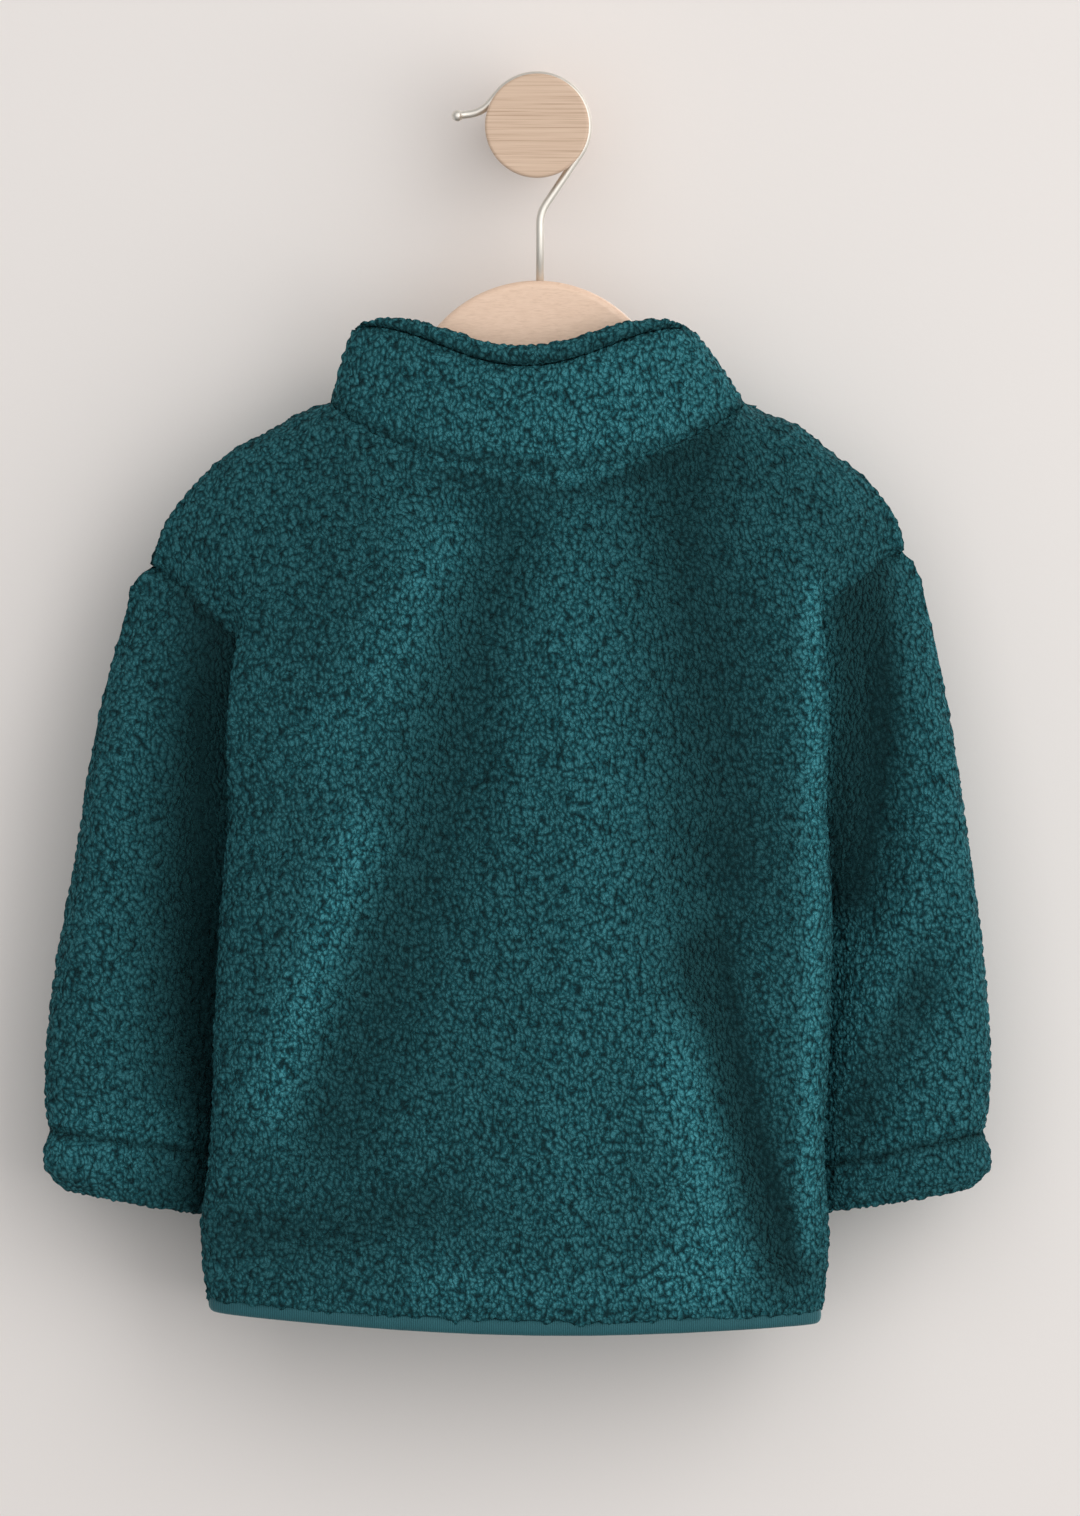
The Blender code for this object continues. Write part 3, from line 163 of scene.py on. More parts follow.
soft_light("window", (2.20, -2.0, 0.35), 3.8, 53, (1.0, 0.985, 0.965))
soft_light("room", (0.2, -3.2, 0.5), 4.6, 58, (1.0, 0.985, 0.975))
soft_light("behind the wall", (1.3, 2.1, 0.70), 1.6, 36, (1.0, 0.985, 0.97))
world = bpy.data.worlds.new("room")
world.use_nodes = True
surroundings = world.node_tree.nodes["Background"].inputs
surroundings["Color"].default_value = (1.0, 0.985, 0.975, 1)
surroundings["Strength"].default_value = 0.41
bpy.context.scene.world = world
bpy.context.scene.view_settings.view_transform = "Standard"

# ---------------------------------------------------------------- back
# The back is one panel of teal pile fleece, 4.5 mm thick, cut with dropped shoulders. Its curly
# clumps of pile stand on a knit backing, and it hangs in long soft folds from the hanger's arms.

CLOTH = 0.0045
PILE_DEPTH = 0.0011  # from the clumps' tips down into the crevices between them
CLUMP = np.array([0.0042, 0.0042, 0.0052])  # the size of one clump along x, y and z
CLUMP_STRAY = ((0.0030, 0.0075), (0.0014, 0.0028))  # how far clumps stray, and over what length
CLUMP_CLEFT = 0.55  # how wide the crevice beside a clump is, as a share of the clump
BACKING_STEP = 9  # how many of the pile's points one face of the knit side spans
SEAM_DIP = 0.0024  # how far the pile is pulled in at a seam
SEAM_PRESSED = -0.0016  # where a seam lies in a notch, its two piles are pressed together instead
SEAM_LAP = 0.0007  # how far a sewn edge is carried on, so that no slit shows at the seam
SEAM_REACH = 0.0075  # how far from the seam that is felt
SEAM_PAINTED_SHADE = 150.0  # painted shade: how much darker the pile is painted at a seam, per metre of dip
SHOULDER_DIP = 0.0010
UNDERARM = 0.61  # how far up the panels the side seam ends and the armhole starts
NECK_HALF_WIDTH = 0.0915
NECK_DEPTH = 0.0345  # from the hanger's plane to the neckline at the middle
NECK_POWER = 0.42
NECK_SOFTENING = 0.060
NECKLINE_POWER = 0.8
SHOULDER_ROUND = 0.0135  # how far the cloth stands off the hanger's plane along the shoulders
SHOULDER_RISE = 0.012
SWELL_RISE = 0.100  # how far below the top edge the body reaches its full depth
FOLDS_START = 0.035  # how far below the top edge the folds reach their full height
SQUARENESS = 2.6
TORSO_POINTS = 401


def table(names, rows):
    """A table with named columns, a row for each section."""
    return dict(zip(names.split(), np.array(rows, float).T))


SIDE_SEAM = table(
    "up left_x left_z right_x right_z y",
    (
        (0.00, -0.1385, -0.5130, 0.1190, -0.5185, -0.0500),
        (0.08, -0.1370, -0.4870, 0.1175, -0.4920, -0.0500),
        (0.16, -0.1310, -0.4610, 0.1130, -0.4660, -0.0500),
        (0.35, -0.1250, -0.3990, 0.1120, -0.4020, -0.0500),
        (0.50, -0.1200, -0.3520, 0.1110, -0.3540, -0.0490),
        (UNDERARM, -0.1165, -0.3180, 0.1080, -0.3150, -0.0480),
    ),
)
ARMHOLE_BACK = table(
    "up left_x left_z right_x right_z y",
    (
        (0.70, -0.1160, -0.2900, 0.1080, -0.2840, -0.0640),
        (0.80, -0.1190, -0.2560, 0.1120, -0.2480, -0.0740),
        (0.90, -0.1320, -0.2250, 0.1260, -0.2130, -0.0760),
        (0.96, -0.1520, -0.2070, 0.1470, -0.1950, -0.0680),
        (1.00, -0.1710, -0.1920, 0.1630, -0.1860, HANG_Y),
    ),
)
TORSO = table(
    "up back front back_reach front_reach turn_deg",
    (
        (0.00, 0.0430, 0.0370, 0.0135, 0.0020, 90.0),
        (0.10, 0.0465, 0.0400, 0.0190, 0.0020, 90.0),
        (0.30, 0.0490, 0.0415, 0.0235, 0.0020, 90.0),
        (0.60, 0.0490, 0.0415, 0.0265, 0.0020, 90.0),
        (0.80, 0.0450, 0.0385, 0.0225, 0.0020, 90.0),
        (0.90, 0.0410, 0.0350, 0.0080, 0.0010, 80.0),
        (1.00, 0.0360, 0.0345, 0.0000, 0.0000, 62.0),
    ),
)
SHOULDER_LEFT = table(
    "x z",
    (
        (-0.1710, -0.1920),
        (-0.1655, -0.1768),
        (-0.1537, -0.1594),
        (-0.1353, -0.1417),
        (-0.1178, -0.1324),
        (-0.1047, -0.1246),
        (-NECK_HALF_WIDTH, -0.1196),
    ),
)
SHOULDER_RIGHT = table(
    "x z",
    (
        (NECK_HALF_WIDTH, -0.1198),
        (0.0990, -0.1240),
        (0.1157, -0.1306),
        (0.1296, -0.1416),
        (0.1500, -0.1593),
        (0.1605, -0.1770),
        (0.1630, -0.1860),
    ),
)
# The folds, as soft ridges (+) and troughs (-) down through three points. The first eight are the
# large ones, and the rest are the lesser creases between them.
FOLDS_BACK = table(
    "height width x1 z1 x2 z2 x3 z3",
    (
        (-0.0080, 0.019, -0.021, -0.180, -0.043, -0.318, -0.086, -0.445),
        (+0.0055, 0.020, -0.044, -0.200, -0.089, -0.325, -0.124, -0.445),
        (+0.0030, 0.010, -0.085, -0.316, -0.105, -0.322, -0.125, -0.340),
        (+0.0050, 0.022, 0.016, -0.180, 0.022, -0.300, 0.056, -0.440),
        (-0.0060, 0.026, 0.060, -0.165, 0.079, -0.265, 0.078, -0.340),
        (-0.0065, 0.017, 0.075, -0.330, 0.088, -0.420, 0.104, -0.485),
        (+0.0045, 0.012, 0.117, -0.225, 0.116, -0.340, 0.115, -0.470),
        (-0.0045, 0.012, -0.135, -0.490, -0.090, -0.482, -0.048, -0.474),
        (+0.0020, 0.0045, -0.041, -0.1455, 0.020, -0.1530, 0.078, -0.127),
        (+0.0028, 0.010, -0.081, -0.313, -0.098, -0.368, -0.119, -0.427),
        (-0.0022, 0.009, -0.068, -0.330, -0.084, -0.385, -0.104, -0.440),
        (+0.0024, 0.010, 0.060, -0.400, 0.072, -0.455, 0.080, -0.500),
        (-0.0026, 0.008, 0.078, -0.372, 0.091, -0.440, 0.109, -0.496),
        (+0.0016, 0.009, -0.020, -0.230, -0.012, -0.290, -0.020, -0.350),
        (-0.0016, 0.008, 0.002, -0.250, 0.006, -0.330, -0.006, -0.420),
        (+0.0015, 0.008, 0.040, -0.210, 0.046, -0.270, 0.050, -0.330),
        (-0.0014, 0.007, -0.060, -0.400, -0.040, -0.450, -0.034, -0.495),
        (+0.0014, 0.008, 0.000, -0.430, 0.010, -0.470, 0.008, -0.505),
        (-0.0018, 0.007, -0.150, -0.214, -0.126, -0.222, -0.100, -0.238),
        (+0.0016, 0.008, -0.100, -0.168, -0.084, -0.200, -0.078, -0.236),
        (-0.0016, 0.007, 0.100, -0.158, 0.092, -0.190, 0.090, -0.226),
    ),
)


def smooth(knots, values, at):
    """A smooth curve through the values at the knots, read at the given places."""
    slopes = np.gradient(values, knots)
    at = np.asarray(at, float)
    i = np.clip(np.searchsorted(knots, at, side="right") - 1, 0, len(knots) - 2)
    step = knots[i + 1] - knots[i]
    t = np.clip((at - knots[i]) / step, 0.0, 1.0)
    start = values[i] * (1 + 2 * t) * (1 - t) ** 2 + step * slopes[i] * t * (1 - t) ** 2
    end = values[i + 1] * t**2 * (3 - 2 * t) - step * slopes[i + 1] * t**2 * (1 - t)
    return start + end


def ease(t):
    """0 to 1 with soft ends."""
    t = np.clip(t, 0.0, 1.0)
    return t * t * (3 - 2 * t)


def lengths(points):
    """How far along a line of points each one lies."""
    steps = np.linalg.norm(np.diff(points, axis=0), axis=1)
    return np.concatenate([[0.0], np.cumsum(steps)])


def along(points, shares):
    """The points at these shares of a line's length."""
    run = lengths(points)
    at = np.asarray(shares) * run[-1]
    return np.stack([np.interp(at, run, points[:, k]) for k in range(3)], axis=1)


def fold_height(folds, x, z):
    """The height of the ridges and troughs at x and z."""
    total = np.zeros_like(x)
    for k in range(len(folds["height"])):
        zs = np.array([folds[f"z{n}"][k] for n in (3, 2, 1)])
        xs = np.array([folds[f"x{n}"][k] for n in (3, 2, 1)])
        width = folds["width"][k]
        if np.ptp(zs) > np.ptp(xs):  # it runs down the cloth
            aside = x - smooth(zs, xs, z)
            past = np.maximum(zs[0] - z, z - zs[-1])
        else:  # it runs across
            order = np.argsort(xs)
            aside = z - smooth(xs[order], zs[order], x)
            past = np.maximum(xs.min() - x, x - xs.max())
        faded = np.exp(-((np.maximum(past, 0.0) / (1.2 * width)) ** 2))
        total += folds["height"][k] * np.exp(-((aside / width) ** 2)) * faded
    return total


PAINTED_SHADING_BACK = table(  # strokes of painted light, lighter (+), and painted shade, darker (-), on the back's pile
    "height width x1 z1 x2 z2 x3 z3",
    (
        (+0.45, 0.016, -0.041, -0.186, -0.070, -0.238, -0.090, -0.270),
        (+0.77, 0.013, -0.081, -0.318, -0.098, -0.368, -0.119, -0.427),
        (-0.34, 0.022, -0.018, -0.186, -0.048, -0.310, -0.090, -0.440),
        (+0.25, 0.022, 0.015, -0.218, 0.025, -0.336, 0.015, -0.466),
        (-0.48, 0.030, 0.064, -0.160, 0.074, -0.238, 0.084, -0.316),
        (-0.84, 0.013, 0.074, -0.368, 0.088, -0.430, 0.108, -0.497),
        (+0.77, 0.005, 0.121, -0.205, 0.122, -0.336, 0.119, -0.492),
        (+0.63, 0.005, 0.121, -0.205, 0.127, -0.188, 0.146, -0.178),
        (+0.77, 0.017, 0.064, -0.414, 0.073, -0.466, 0.070, -0.505),
        (-0.35, 0.014, -0.132, -0.486, -0.093, -0.486, -0.050, -0.476),
        (+0.42, 0.011, -0.047, -0.510, 0.024, -0.512, 0.090, -0.502),
        (+0.39, 0.004, -0.041, -0.1455, 0.020, -0.1530, 0.078, -0.127),
        (-0.32, 0.004, -0.041, -0.1530, 0.020, -0.1610, 0.080, -0.136),
        (-0.16, 0.020, 0.082, -0.140, 0.112, -0.158, 0.138, -0.185),
        (-0.14, 0.026, -0.085, -0.150, -0.090, -0.180, -0.100, -0.220),
    ),
)
BACK = {
    "way": -1,  # towards the room
    "armhole": ARMHOLE_BACK,
    "folds": FOLDS_BACK,
    "depth": "back",
    "reach": "back_reach",
    "neck": 0.0286,  # how far the neckline and the hem hang below their ends
    "hem": 0.0080,
}


def side_edge(face, hand, up):
    """The point of a panel's side edge, at the side seam or at the armhole."""
    hole = {k: np.concatenate([SIDE_SEAM[k][-1:], face["armhole"][k]]) for k in SIDE_SEAM}
    seamed = [smooth(SIDE_SEAM["up"], SIDE_SEAM[k], up) for k in (f"{hand}_x", "y", f"{hand}_z")]
    free = [smooth(hole["up"], hole[k], up) for k in (f"{hand}_x", "y", f"{hand}_z")]
    below = (np.asarray(up) <= UNDERARM)[..., None]
    return np.where(below, np.stack(seamed, axis=-1), np.stack(free, axis=-1))


def top_edge(face, x):
    """The height of a panel's top edge: shoulder seam, neckline, shoulder seam."""
    left = smooth(SHOULDER_LEFT["x"], SHOULDER_LEFT["z"], x)
    right = smooth(SHOULDER_RIGHT["x"], SHOULDER_RIGHT["z"], x)
    turn = np.clip(x / NECK_HALF_WIDTH, -1.0, 1.0)
    neck_points = SHOULDER_LEFT["z"][-1], SHOULDER_RIGHT["z"][0]
    sloping = neck_points[0] + (neck_points[1] - neck_points[0]) * (turn + 1) / 2
    neck = sloping - face["neck"] * (1 - turn**2) ** NECKLINE_POWER
    return np.where(x <= -NECK_HALF_WIDTH, left, np.where(x >= NECK_HALF_WIDTH, right, neck))


def torso_row(face, up):
    """One line of points across the back or the fronts, from the left edge to the right."""
    turn = math.radians(smooth(TORSO["up"], TORSO["turn_deg"], up))
    power = 2 / SQUARENESS
    angle = turn * np.linspace(-1, 1, TORSO_POINTS)
    across = np.sign(angle) * np.abs(np.sin(angle)) ** power / math.sin(turn) ** power
    end = math.cos(turn) ** power if turn < math.pi / 2 - 1e-6 else 0.0
    inner = (np.clip(np.cos(angle), 0, 1) ** power - end) / (1 - end)

    left, right = side_edge(face, "left", up), side_edge(face, "right", up)
    tip_left, tip_right = side_edge(face, "left", 1.0), side_edge(face, "right", 1.0)
    hem_left, hem_right = side_edge(face, "left", 0.0), side_edge(face, "right", 0.0)
    part = (across + 1) / 2

    top_x = tip_left[0] + (tip_right[0] - tip_left[0]) * part
    top = top_edge(face, top_x)
    hem = hem_left[2] + (hem_right[2] - hem_left[2]) * part
    hem = hem - face["hem"] * (1 - across**2)
    z = hem + (top - hem) * up
    miss_left, miss_right = left[2] - z[0], right[2] - z[-1]
    z = z + np.where(across < 0, miss_left, miss_right) * np.abs(across) ** 3

    reach = smooth(TORSO["up"], TORSO[face["reach"]], up)
    bump = np.sin(math.pi * np.abs(angle / turn) ** 2)
    x = left[0] + (right[0] - left[0]) * part + np.sign(angle) * reach * bump

    below = np.maximum(top - z, 0.0)
    within = np.maximum(1 - (top_x / NECK_HALF_WIDTH) ** 2, -1.0)
    softened = np.sqrt(within**2 + (below / NECK_SOFTENING) ** 2)
    necked = np.minimum(((within + softened) / 2) ** NECK_POWER, 1.0)
    neck = NECK_DEPTH * necked / np.maximum(inner, 0.3)
    rounding = SHOULDER_ROUND * (1 - necked)
    over = np.sqrt(1 - (1 - np.clip(below / SHOULDER_RISE, 0, 1)) ** 2)
    full = smooth(TORSO["up"], TORSO[face["depth"]], up)
    swell = np.sin(np.clip(below / SWELL_RISE, 0, 1) * math.pi / 2)
    depth = neck + rounding * over + (full - neck - rounding) * swell
    window = inner * (2 - inner) * ease(below / FOLDS_START)
    depth = depth + fold_height(face["folds"], x, z) * window
    edge = face["way"] * ((left[1] + (right[1] - left[1]) * part) - HANG_Y)
    y = HANG_Y + face["way"] * (edge * (1 - inner) + depth * inner)
    return np.stack([x, y, z], axis=1)


def outward(grid, closed):
    """The grid's unit normals, for rows that go up or down and columns that go round."""
    if closed:
        wide = np.concatenate([grid[:, -1:], grid, grid[:, :1]], axis=1)
        across = (wide[:, 2:] - wide[:, :-2]) / 2
    else:
        across = np.gradient(grid, axis=1)
    normal = np.cross(across, np.gradient(grid, axis=0))
    normal /= np.maximum(np.linalg.norm(normal, axis=2, keepdims=True), 1e-12)
    for _ in range(5):  # calmed, so that corners and folds don't throw the pile about
        for axis in (0, 1):
            mode = "wrap" if closed and axis else "edge"
            wide = np.pad(normal, [(1, 1) if k == axis else (0, 0) for k in range(3)], mode)
            low, high = (np.take(wide, range(k, k + normal.shape[axis]), axis) for k in (0, 2))
            normal = (low + high + 2 * normal) / 4
    return normal / np.linalg.norm(normal, axis=2, keepdims=True)


RANDOM = np.random.default_rng(9).random((32, 32, 32, 4))


def scatter(cells):
    """Four random numbers for each cell of a lattice."""
    i = np.mod(cells.astype(int), 32)
    return RANDOM[i[..., 0], i[..., 1], i[..., 2]]


def drift(points, size):
    """Smooth random numbers, four at each point, that change over about this length."""
    at = points / size
    cell = np.floor(at)
    t = at - cell
    t = t * t * (3 - 2 * t)
    total = 0
    for corner in np.ndindex(2, 2, 2):
        share = np.prod(np.where(corner, t, 1 - t), axis=-1)
        total = total + scatter(cell + corner) * share[..., None]
    return total - 0.5


def clumps(points):
    """How high the pile stands at each point: near 1 on a clump, and 0 between clumps."""
    strayed = points
    for stray, length in CLUMP_STRAY:
        strayed = strayed + stray * drift(points, length)[..., :3]
    at = strayed / CLUMP
    cell = np.floor(at)
    nearest = np.full(at.shape[:-1], 9.0)
    second = nearest.copy()
    height = np.zeros_like(nearest)
    for offset in np.ndindex(3, 3, 3):
        there = cell + offset - 1
        random = scatter(there)
        away = np.sum((there + 0.15 + 0.7 * random[..., :3] - at) ** 2, axis=-1)
        closer = away < nearest
        second = np.where(closer, nearest, np.minimum(second, away))
        nearest = np.where(closer, away, nearest)
        height = np.where(closer, random[..., 3], height)
    ridge = ease((np.sqrt(second) - np.sqrt(nearest)) / CLUMP_CLEFT)
    return ridge * (0.70 + 0.30 * height) * (1 - 0.25 * np.clip(nearest, 0, 1))


def edge_runs(grid, axis):
    """Each point's distance from the first and from the last end of its line along an axis."""
    steps = np.linalg.norm(np.diff(grid, axis=axis), axis=2)
    run = np.cumsum(steps, axis=axis)
    run = np.concatenate([np.zeros_like(np.take(run, [0], axis=axis)), run], axis=axis)
    return run, np.take(run, [-1], axis=axis) - run


def lapped(grid, closed):
    """The grid with its edges carried on a little way past the seam lines."""
    grid = grid.copy()
    lines = [(grid[0], grid[1]), (grid[-1], grid[-2])]
    if not closed:
        lines += [(grid[:, 0], grid[:, 1]), (grid[:, -1], grid[:, -2])]
    for edge, beside in lines:
        step = edge - beside
        edge += step / np.maximum(np.linalg.norm(step, axis=1, keepdims=True), 1e-9) * SEAM_LAP
    return grid


def seamed(grid, closed, dips):
    """The grid with the pile pulled in at its sewn edges, and the painted shade along them."""
    ends = dict(zip(("start", "end"), edge_runs(grid, 0)))
    if not closed:
        ends.update(zip(("first", "last"), edge_runs(grid, 1)))
    dip = np.zeros(grid.shape[:2])
    dark = np.zeros(grid.shape[:2])
    for name, run in ends.items():
        near = (1 - ease(run / SEAM_REACH)) ** 1.6
        depth = dips.get(name, SEAM_DIP) * near
        dark = np.maximum(dark, np.where(depth < 0, SEAM_DIP * near, depth))
        dip = np.where(np.abs(depth) > np.abs(dip), depth, dip)
    return grid - outward(grid, closed) * dip[..., None], 1 - SEAM_PAINTED_SHADE * dark


def coarse_faces(rows, columns, closed, step):
    """Large faces over a fine grid: they meet all its edge points and few of the others."""
    row_stops = list(range(0, rows - 1, step)) + [rows - 1]
    last = columns if closed else columns - 1
    column_stops = list(range(0, last, step)) + [last]
    faces = []
    for a, b in zip(row_stops, row_stops[1:]):
        for c, d in zip(column_stops, column_stops[1:]):
            low = range(c, d) if a == 0 else [c]
            right = range(a, b) if d == last and not closed else [a]
            high = range(d, c, -1) if b == rows - 1 else [d]
            left = range(b, a, -1) if c == 0 and not closed else [b]
            loop = [(a, k) for k in low] + [(k, d) for k in right]
            loop += [(b, k) for k in high] + [(k, c) for k in left]
            faces.append([r * columns + k % columns for r, k in loop])
    return faces


def grid_faces(rows, columns, closed):
    """Four-sided faces over a whole grid."""
    around = columns if closed else columns - 1
    r, c = np.meshgrid(np.arange(rows - 1), np.arange(around), indexing="ij")
    here = r * columns + c
    after = r * columns + (c + 1) % columns
    return np.stack([here, after, after + columns, here + columns], axis=-1).reshape(-1, 4).tolist()


def rim_faces(rows, columns, closed, below):
    """Faces that join the edges of two like grids, the second's points numbered from below on."""
    loops = []
    if closed:
        ring = list(range(columns)) + [0]
        loops += [ring[::-1], [(rows - 1) * columns + k for k in ring]]
    else:
        bottom = list(range(columns))
        right = [r * columns + columns - 1 for r in range(rows)]
        top = [(rows - 1) * columns + k for k in bottom][::-1]
        left = [r * columns for r in range(rows)][::-1]
        loops.append((bottom + right[1:] + top[1:] + left[1:])[::-1])
    return [[a, b, b + below, a + below] for loop in loops for a, b in zip(loop, loop[1:])]


def mesh_object(name, points, faces, material):
    """A piece made of these points and faces, in one material."""
    mesh = bpy.data.meshes.new(name)
    mesh.from_pydata(np.asarray(points).tolist(), [], faces)
    mesh.materials.append(material)
    obj = bpy.data.objects.new(name, mesh)
    bpy.context.scene.collection.objects.link(obj)
    return obj


def fleece_piece(name, grid, closed=False, thickness=CLOTH, pile=PILE_DEPTH, painted_shading=1.0, **dips):
    """A piece of fleece cut to its grid: the piled face, the knit side behind it and the edges.

    The pile's colour is scaled by painted light and shade: below 1 it is painted darker, as in a fold's
    trough or at a seam, and above 1 lighter.
    """
    outer, dark = seamed(lapped(grid, closed), closed, dips)
    # The seams' painted shade darkens the pile's colour.
    painted_shading = painted_shading * dark
    normals = outward(outer, closed)
    rows, columns = grid.shape[:2]
    height = clumps(outer)
    piled = outer - normals * (pile * (1 - height))[..., None]
    backing = outer - normals * thickness
    count = rows * columns
    flat = [face[::-1] for face in coarse_faces(rows, columns, closed, BACKING_STEP)]
    back_faces = [[k + count for k in face] for face in flat]
    kept = np.zeros(2 * count, bool)
    kept[:count] = True
    kept[[k for face in back_faces for k in face]] = True
    number = np.cumsum(kept) - 1
    faces = grid_faces(rows, columns, closed) + rim_faces(rows, columns, closed, count) + back_faces
    points = np.concatenate([piled.reshape(-1, 3), backing.reshape(-1, 3)])[kept]
    obj = mesh_object(name, points, [[int(number[k]) for k in face] for face in faces], FLEECE)
    obj.data.shade_smooth()
    painted_shading_values = np.concatenate([np.broadcast_to(painted_shading, (rows, columns)).ravel(), np.ones(count)])[kept]
    painted_shading_attribute = obj.data.attributes.new("painted_shading", "FLOAT", "POINT")
    painted_shading_attribute.data.foreach_set("value", painted_shading_values.astype(np.float32))
    return obj


def put_in_place(obj, node, body="jacket_on_peg"):
    """Puts a piece in its solid's place, on its body."""
    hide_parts(node)
    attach(obj, body)


def hung(obj, node):
    """Puts a fleece piece in its solid's place."""
    put_in_place(obj, node)


def maths(material, operation, *values):
    """A sum in a material, of plain numbers and other nodes' outputs."""
    return shader_node(material, "Math", dict(enumerate(values)), operation=operation)["Value"]


def ramp(material, along_it, start, end, stops):
    """Colours along a value, at shares of the way from start to end."""
    band = shader_node(material, "ValToRGB", {"Fac": along_it})
    elements = material.node_tree.nodes[-1].color_ramp.elements
    for _ in stops[2:]:
        elements.new(0.5)
    for element, (share, colour) in zip(elements, stops):
        element.position = start + (end - start) * share
        element.color = (*colour, 1)
    return band["Color"]


PILE_SHADE_AND_HIGHLIGHT_COLOURS = (  # painted shade in the crevices between the curls, up to a painted highlight on their tips
    (0.00, (0.0034, 0.0190, 0.0245)),
    (0.25, (0.0062, 0.0415, 0.0530)),
    (0.50, (0.0108, 0.0765, 0.0950)),
    (0.80, (0.0160, 0.1080, 0.1310)),
    (1.00, (0.0380, 0.1750, 0.2050)),
)


def pile_material(name, colours, curl, relief):
    """Matte curly pile: soft domed curls with painted shade between them and painted highlights on their
    tips, and finer locks and fibres on each.
    """
    sheen = {"Sheen Weight": 0.14, "Sheen Roughness": 0.5, "Sheen Tint": (0.15, 0.72, 0.80, 1)}
    made, place = finish(name, {"Roughness": 0.95, "Specular IOR Level": 0.10} | sheen)
    bent = place
    for size, amount in ((0.0085, 0.0050), (0.0030, 0.0016), (0.0014, 0.0010)):
        noise = shader_node(made, "TexNoise", {"Vector": place, "Scale": 1 / size, "Detail": 2})
        centred = shader_node(
            made, "VectorMath", {0: noise["Color"], 1: (0.5, 0.5, 0.5)}, operation="SUBTRACT"
        )
        moved = shader_node(
            made,
            "VectorMath",
            {0: centred["Vector"], 1: (amount,) * 3, 2: bent},
            operation="MULTIPLY_ADD",
        )
        bent = moved["Vector"]
    scale = tuple(1 / size for size in curl)
    at = shader_node(made, "VectorMath", {0: bent, 1: scale}, operation="MULTIPLY")["Vector"]
    curls, locks = (
        shader_node(
            made, "TexVoronoi", {"Vector": at, "Scale": n, "Smoothness": soft}, feature="SMOOTH_F1"
        )["Distance"]
        for n, soft in ((1.0, 0.0), (2.1, 0.2))
    )
    combed = shader_node(made, "VectorMath", {0: bent, 1: (1, 1, 0.45)}, operation="MULTIPLY")
    fibres, lumps, patches = (
        shader_node(
            made, "TexNoise", {"Vector": where, "Scale": n, "Detail": 3, "Distortion": 0.5}
        )["Fac"]
        for where, n in ((combed["Vector"], 1500), (bent, 1000), (place, 45))
    )
    height = maths(made, "MULTIPLY_ADD", fibres, 0.15, 0.755)
    height = maths(made, "MULTIPLY_ADD", lumps, 0.18, height)
    height = maths(made, "MULTIPLY_ADD", locks, -0.12, height)
    domes = maths(made, "MULTIPLY", curls, curls)
    height = maths(made, "MULTIPLY_ADD", domes, -0.90, height)
    # The curls' height is painted as colour: painted shade down in the crevices, a painted highlight on
    # the tips.
    colour = ramp(made, height, 0.22, 0.74, colours)
    tone = shader_node(made, "MapRange", {"Value": patches, "To Min": 0.92, "To Max": 1.08})
    # Painted light and shade from the piece's attribute scale the colour, on top of the random tone.
    painted_shading = shader_node(made, "Attribute", attribute_name="painted_shading")["Fac"]
    tone = maths(made, "MULTIPLY", tone["Result"], painted_shading)
    worn = shader_node(made, "HueSaturation", {"Color": colour, "Value": tone})
    bump = shader_node(made, "Bump", {"Height": height, "Strength": 1.0, "Distance": relief})
    return wire_up(made, Base_Color=worn["Color"], Normal=bump["Normal"])


CURL = (0.0018, 0.0018, 0.0024)  # the size of one curl along x, y and z
FLEECE = pile_material("teal pile fleece", PILE_SHADE_AND_HIGHLIGHT_COLOURS, CURL, relief=0.0066)

BODY_UPS = np.linspace(0, 1, 262)
BACK_SHARES = np.linspace(0, 1, 322)
back_grid = np.stack([along(torso_row(BACK, up), BACK_SHARES) for up in BODY_UPS])


def body_painted_shading(folds, grid):
    """Painted light and shade on a body panel: painted shade in the fold troughs and painted light on the
    ridges, the back's strokes of painted light and shade, and painted shade at the sides of the fronts.
    """
    fold = fold_height(folds, grid[..., 0], grid[..., 2])
    if folds is FOLDS_BACK:
        return np.clip(0.95 + 10 * fold + fold_height(PAINTED_SHADING_BACK, grid[..., 0], grid[..., 2]), 0.3, 1.8)
    past = ease((np.abs(grid[..., 0] + 0.004) - 0.094) / 0.020)
    below = ease((-0.235 - grid[..., 2]) / 0.05) * ease((grid[..., 2] + 0.52) / 0.04)
    return np.clip(1.0 + 45 * fold, 0.70, 1.25) * (1 - 0.36 * past * below)


def hem_lip(grid):
    """The grid with the fleece's lower edge carried on: its pile hangs over the hem binding."""
    across = np.gradient(grid[0], axis=0)
    out = np.cross(across, (0.0, 0.0, 1.0))
    out /= np.linalg.norm(out, axis=1, keepdims=True)
    ragged = 1 + 1.4 * drift(grid[0], 0.0045)[:, :1]
    rows = [
        grid[0] - out * inward + np.array([0.0, 0.0, -drop]) * ragged
        for inward, drop in ((0.0034, 0.0026), (0.0016, 0.0027), (0.0004, 0.0017))
    ]
    return np.concatenate([rows, grid])


def top_dip(grid):
    """How far the pile is pulled in along a panel's top edge, more at the collar's seam."""
    neckline = ease((NECK_HALF_WIDTH + 0.004 - np.abs(grid[-1, :, 0])) / 0.008)
    return SHOULDER_DIP + (SEAM_DIP - SHOULDER_DIP) * neckline


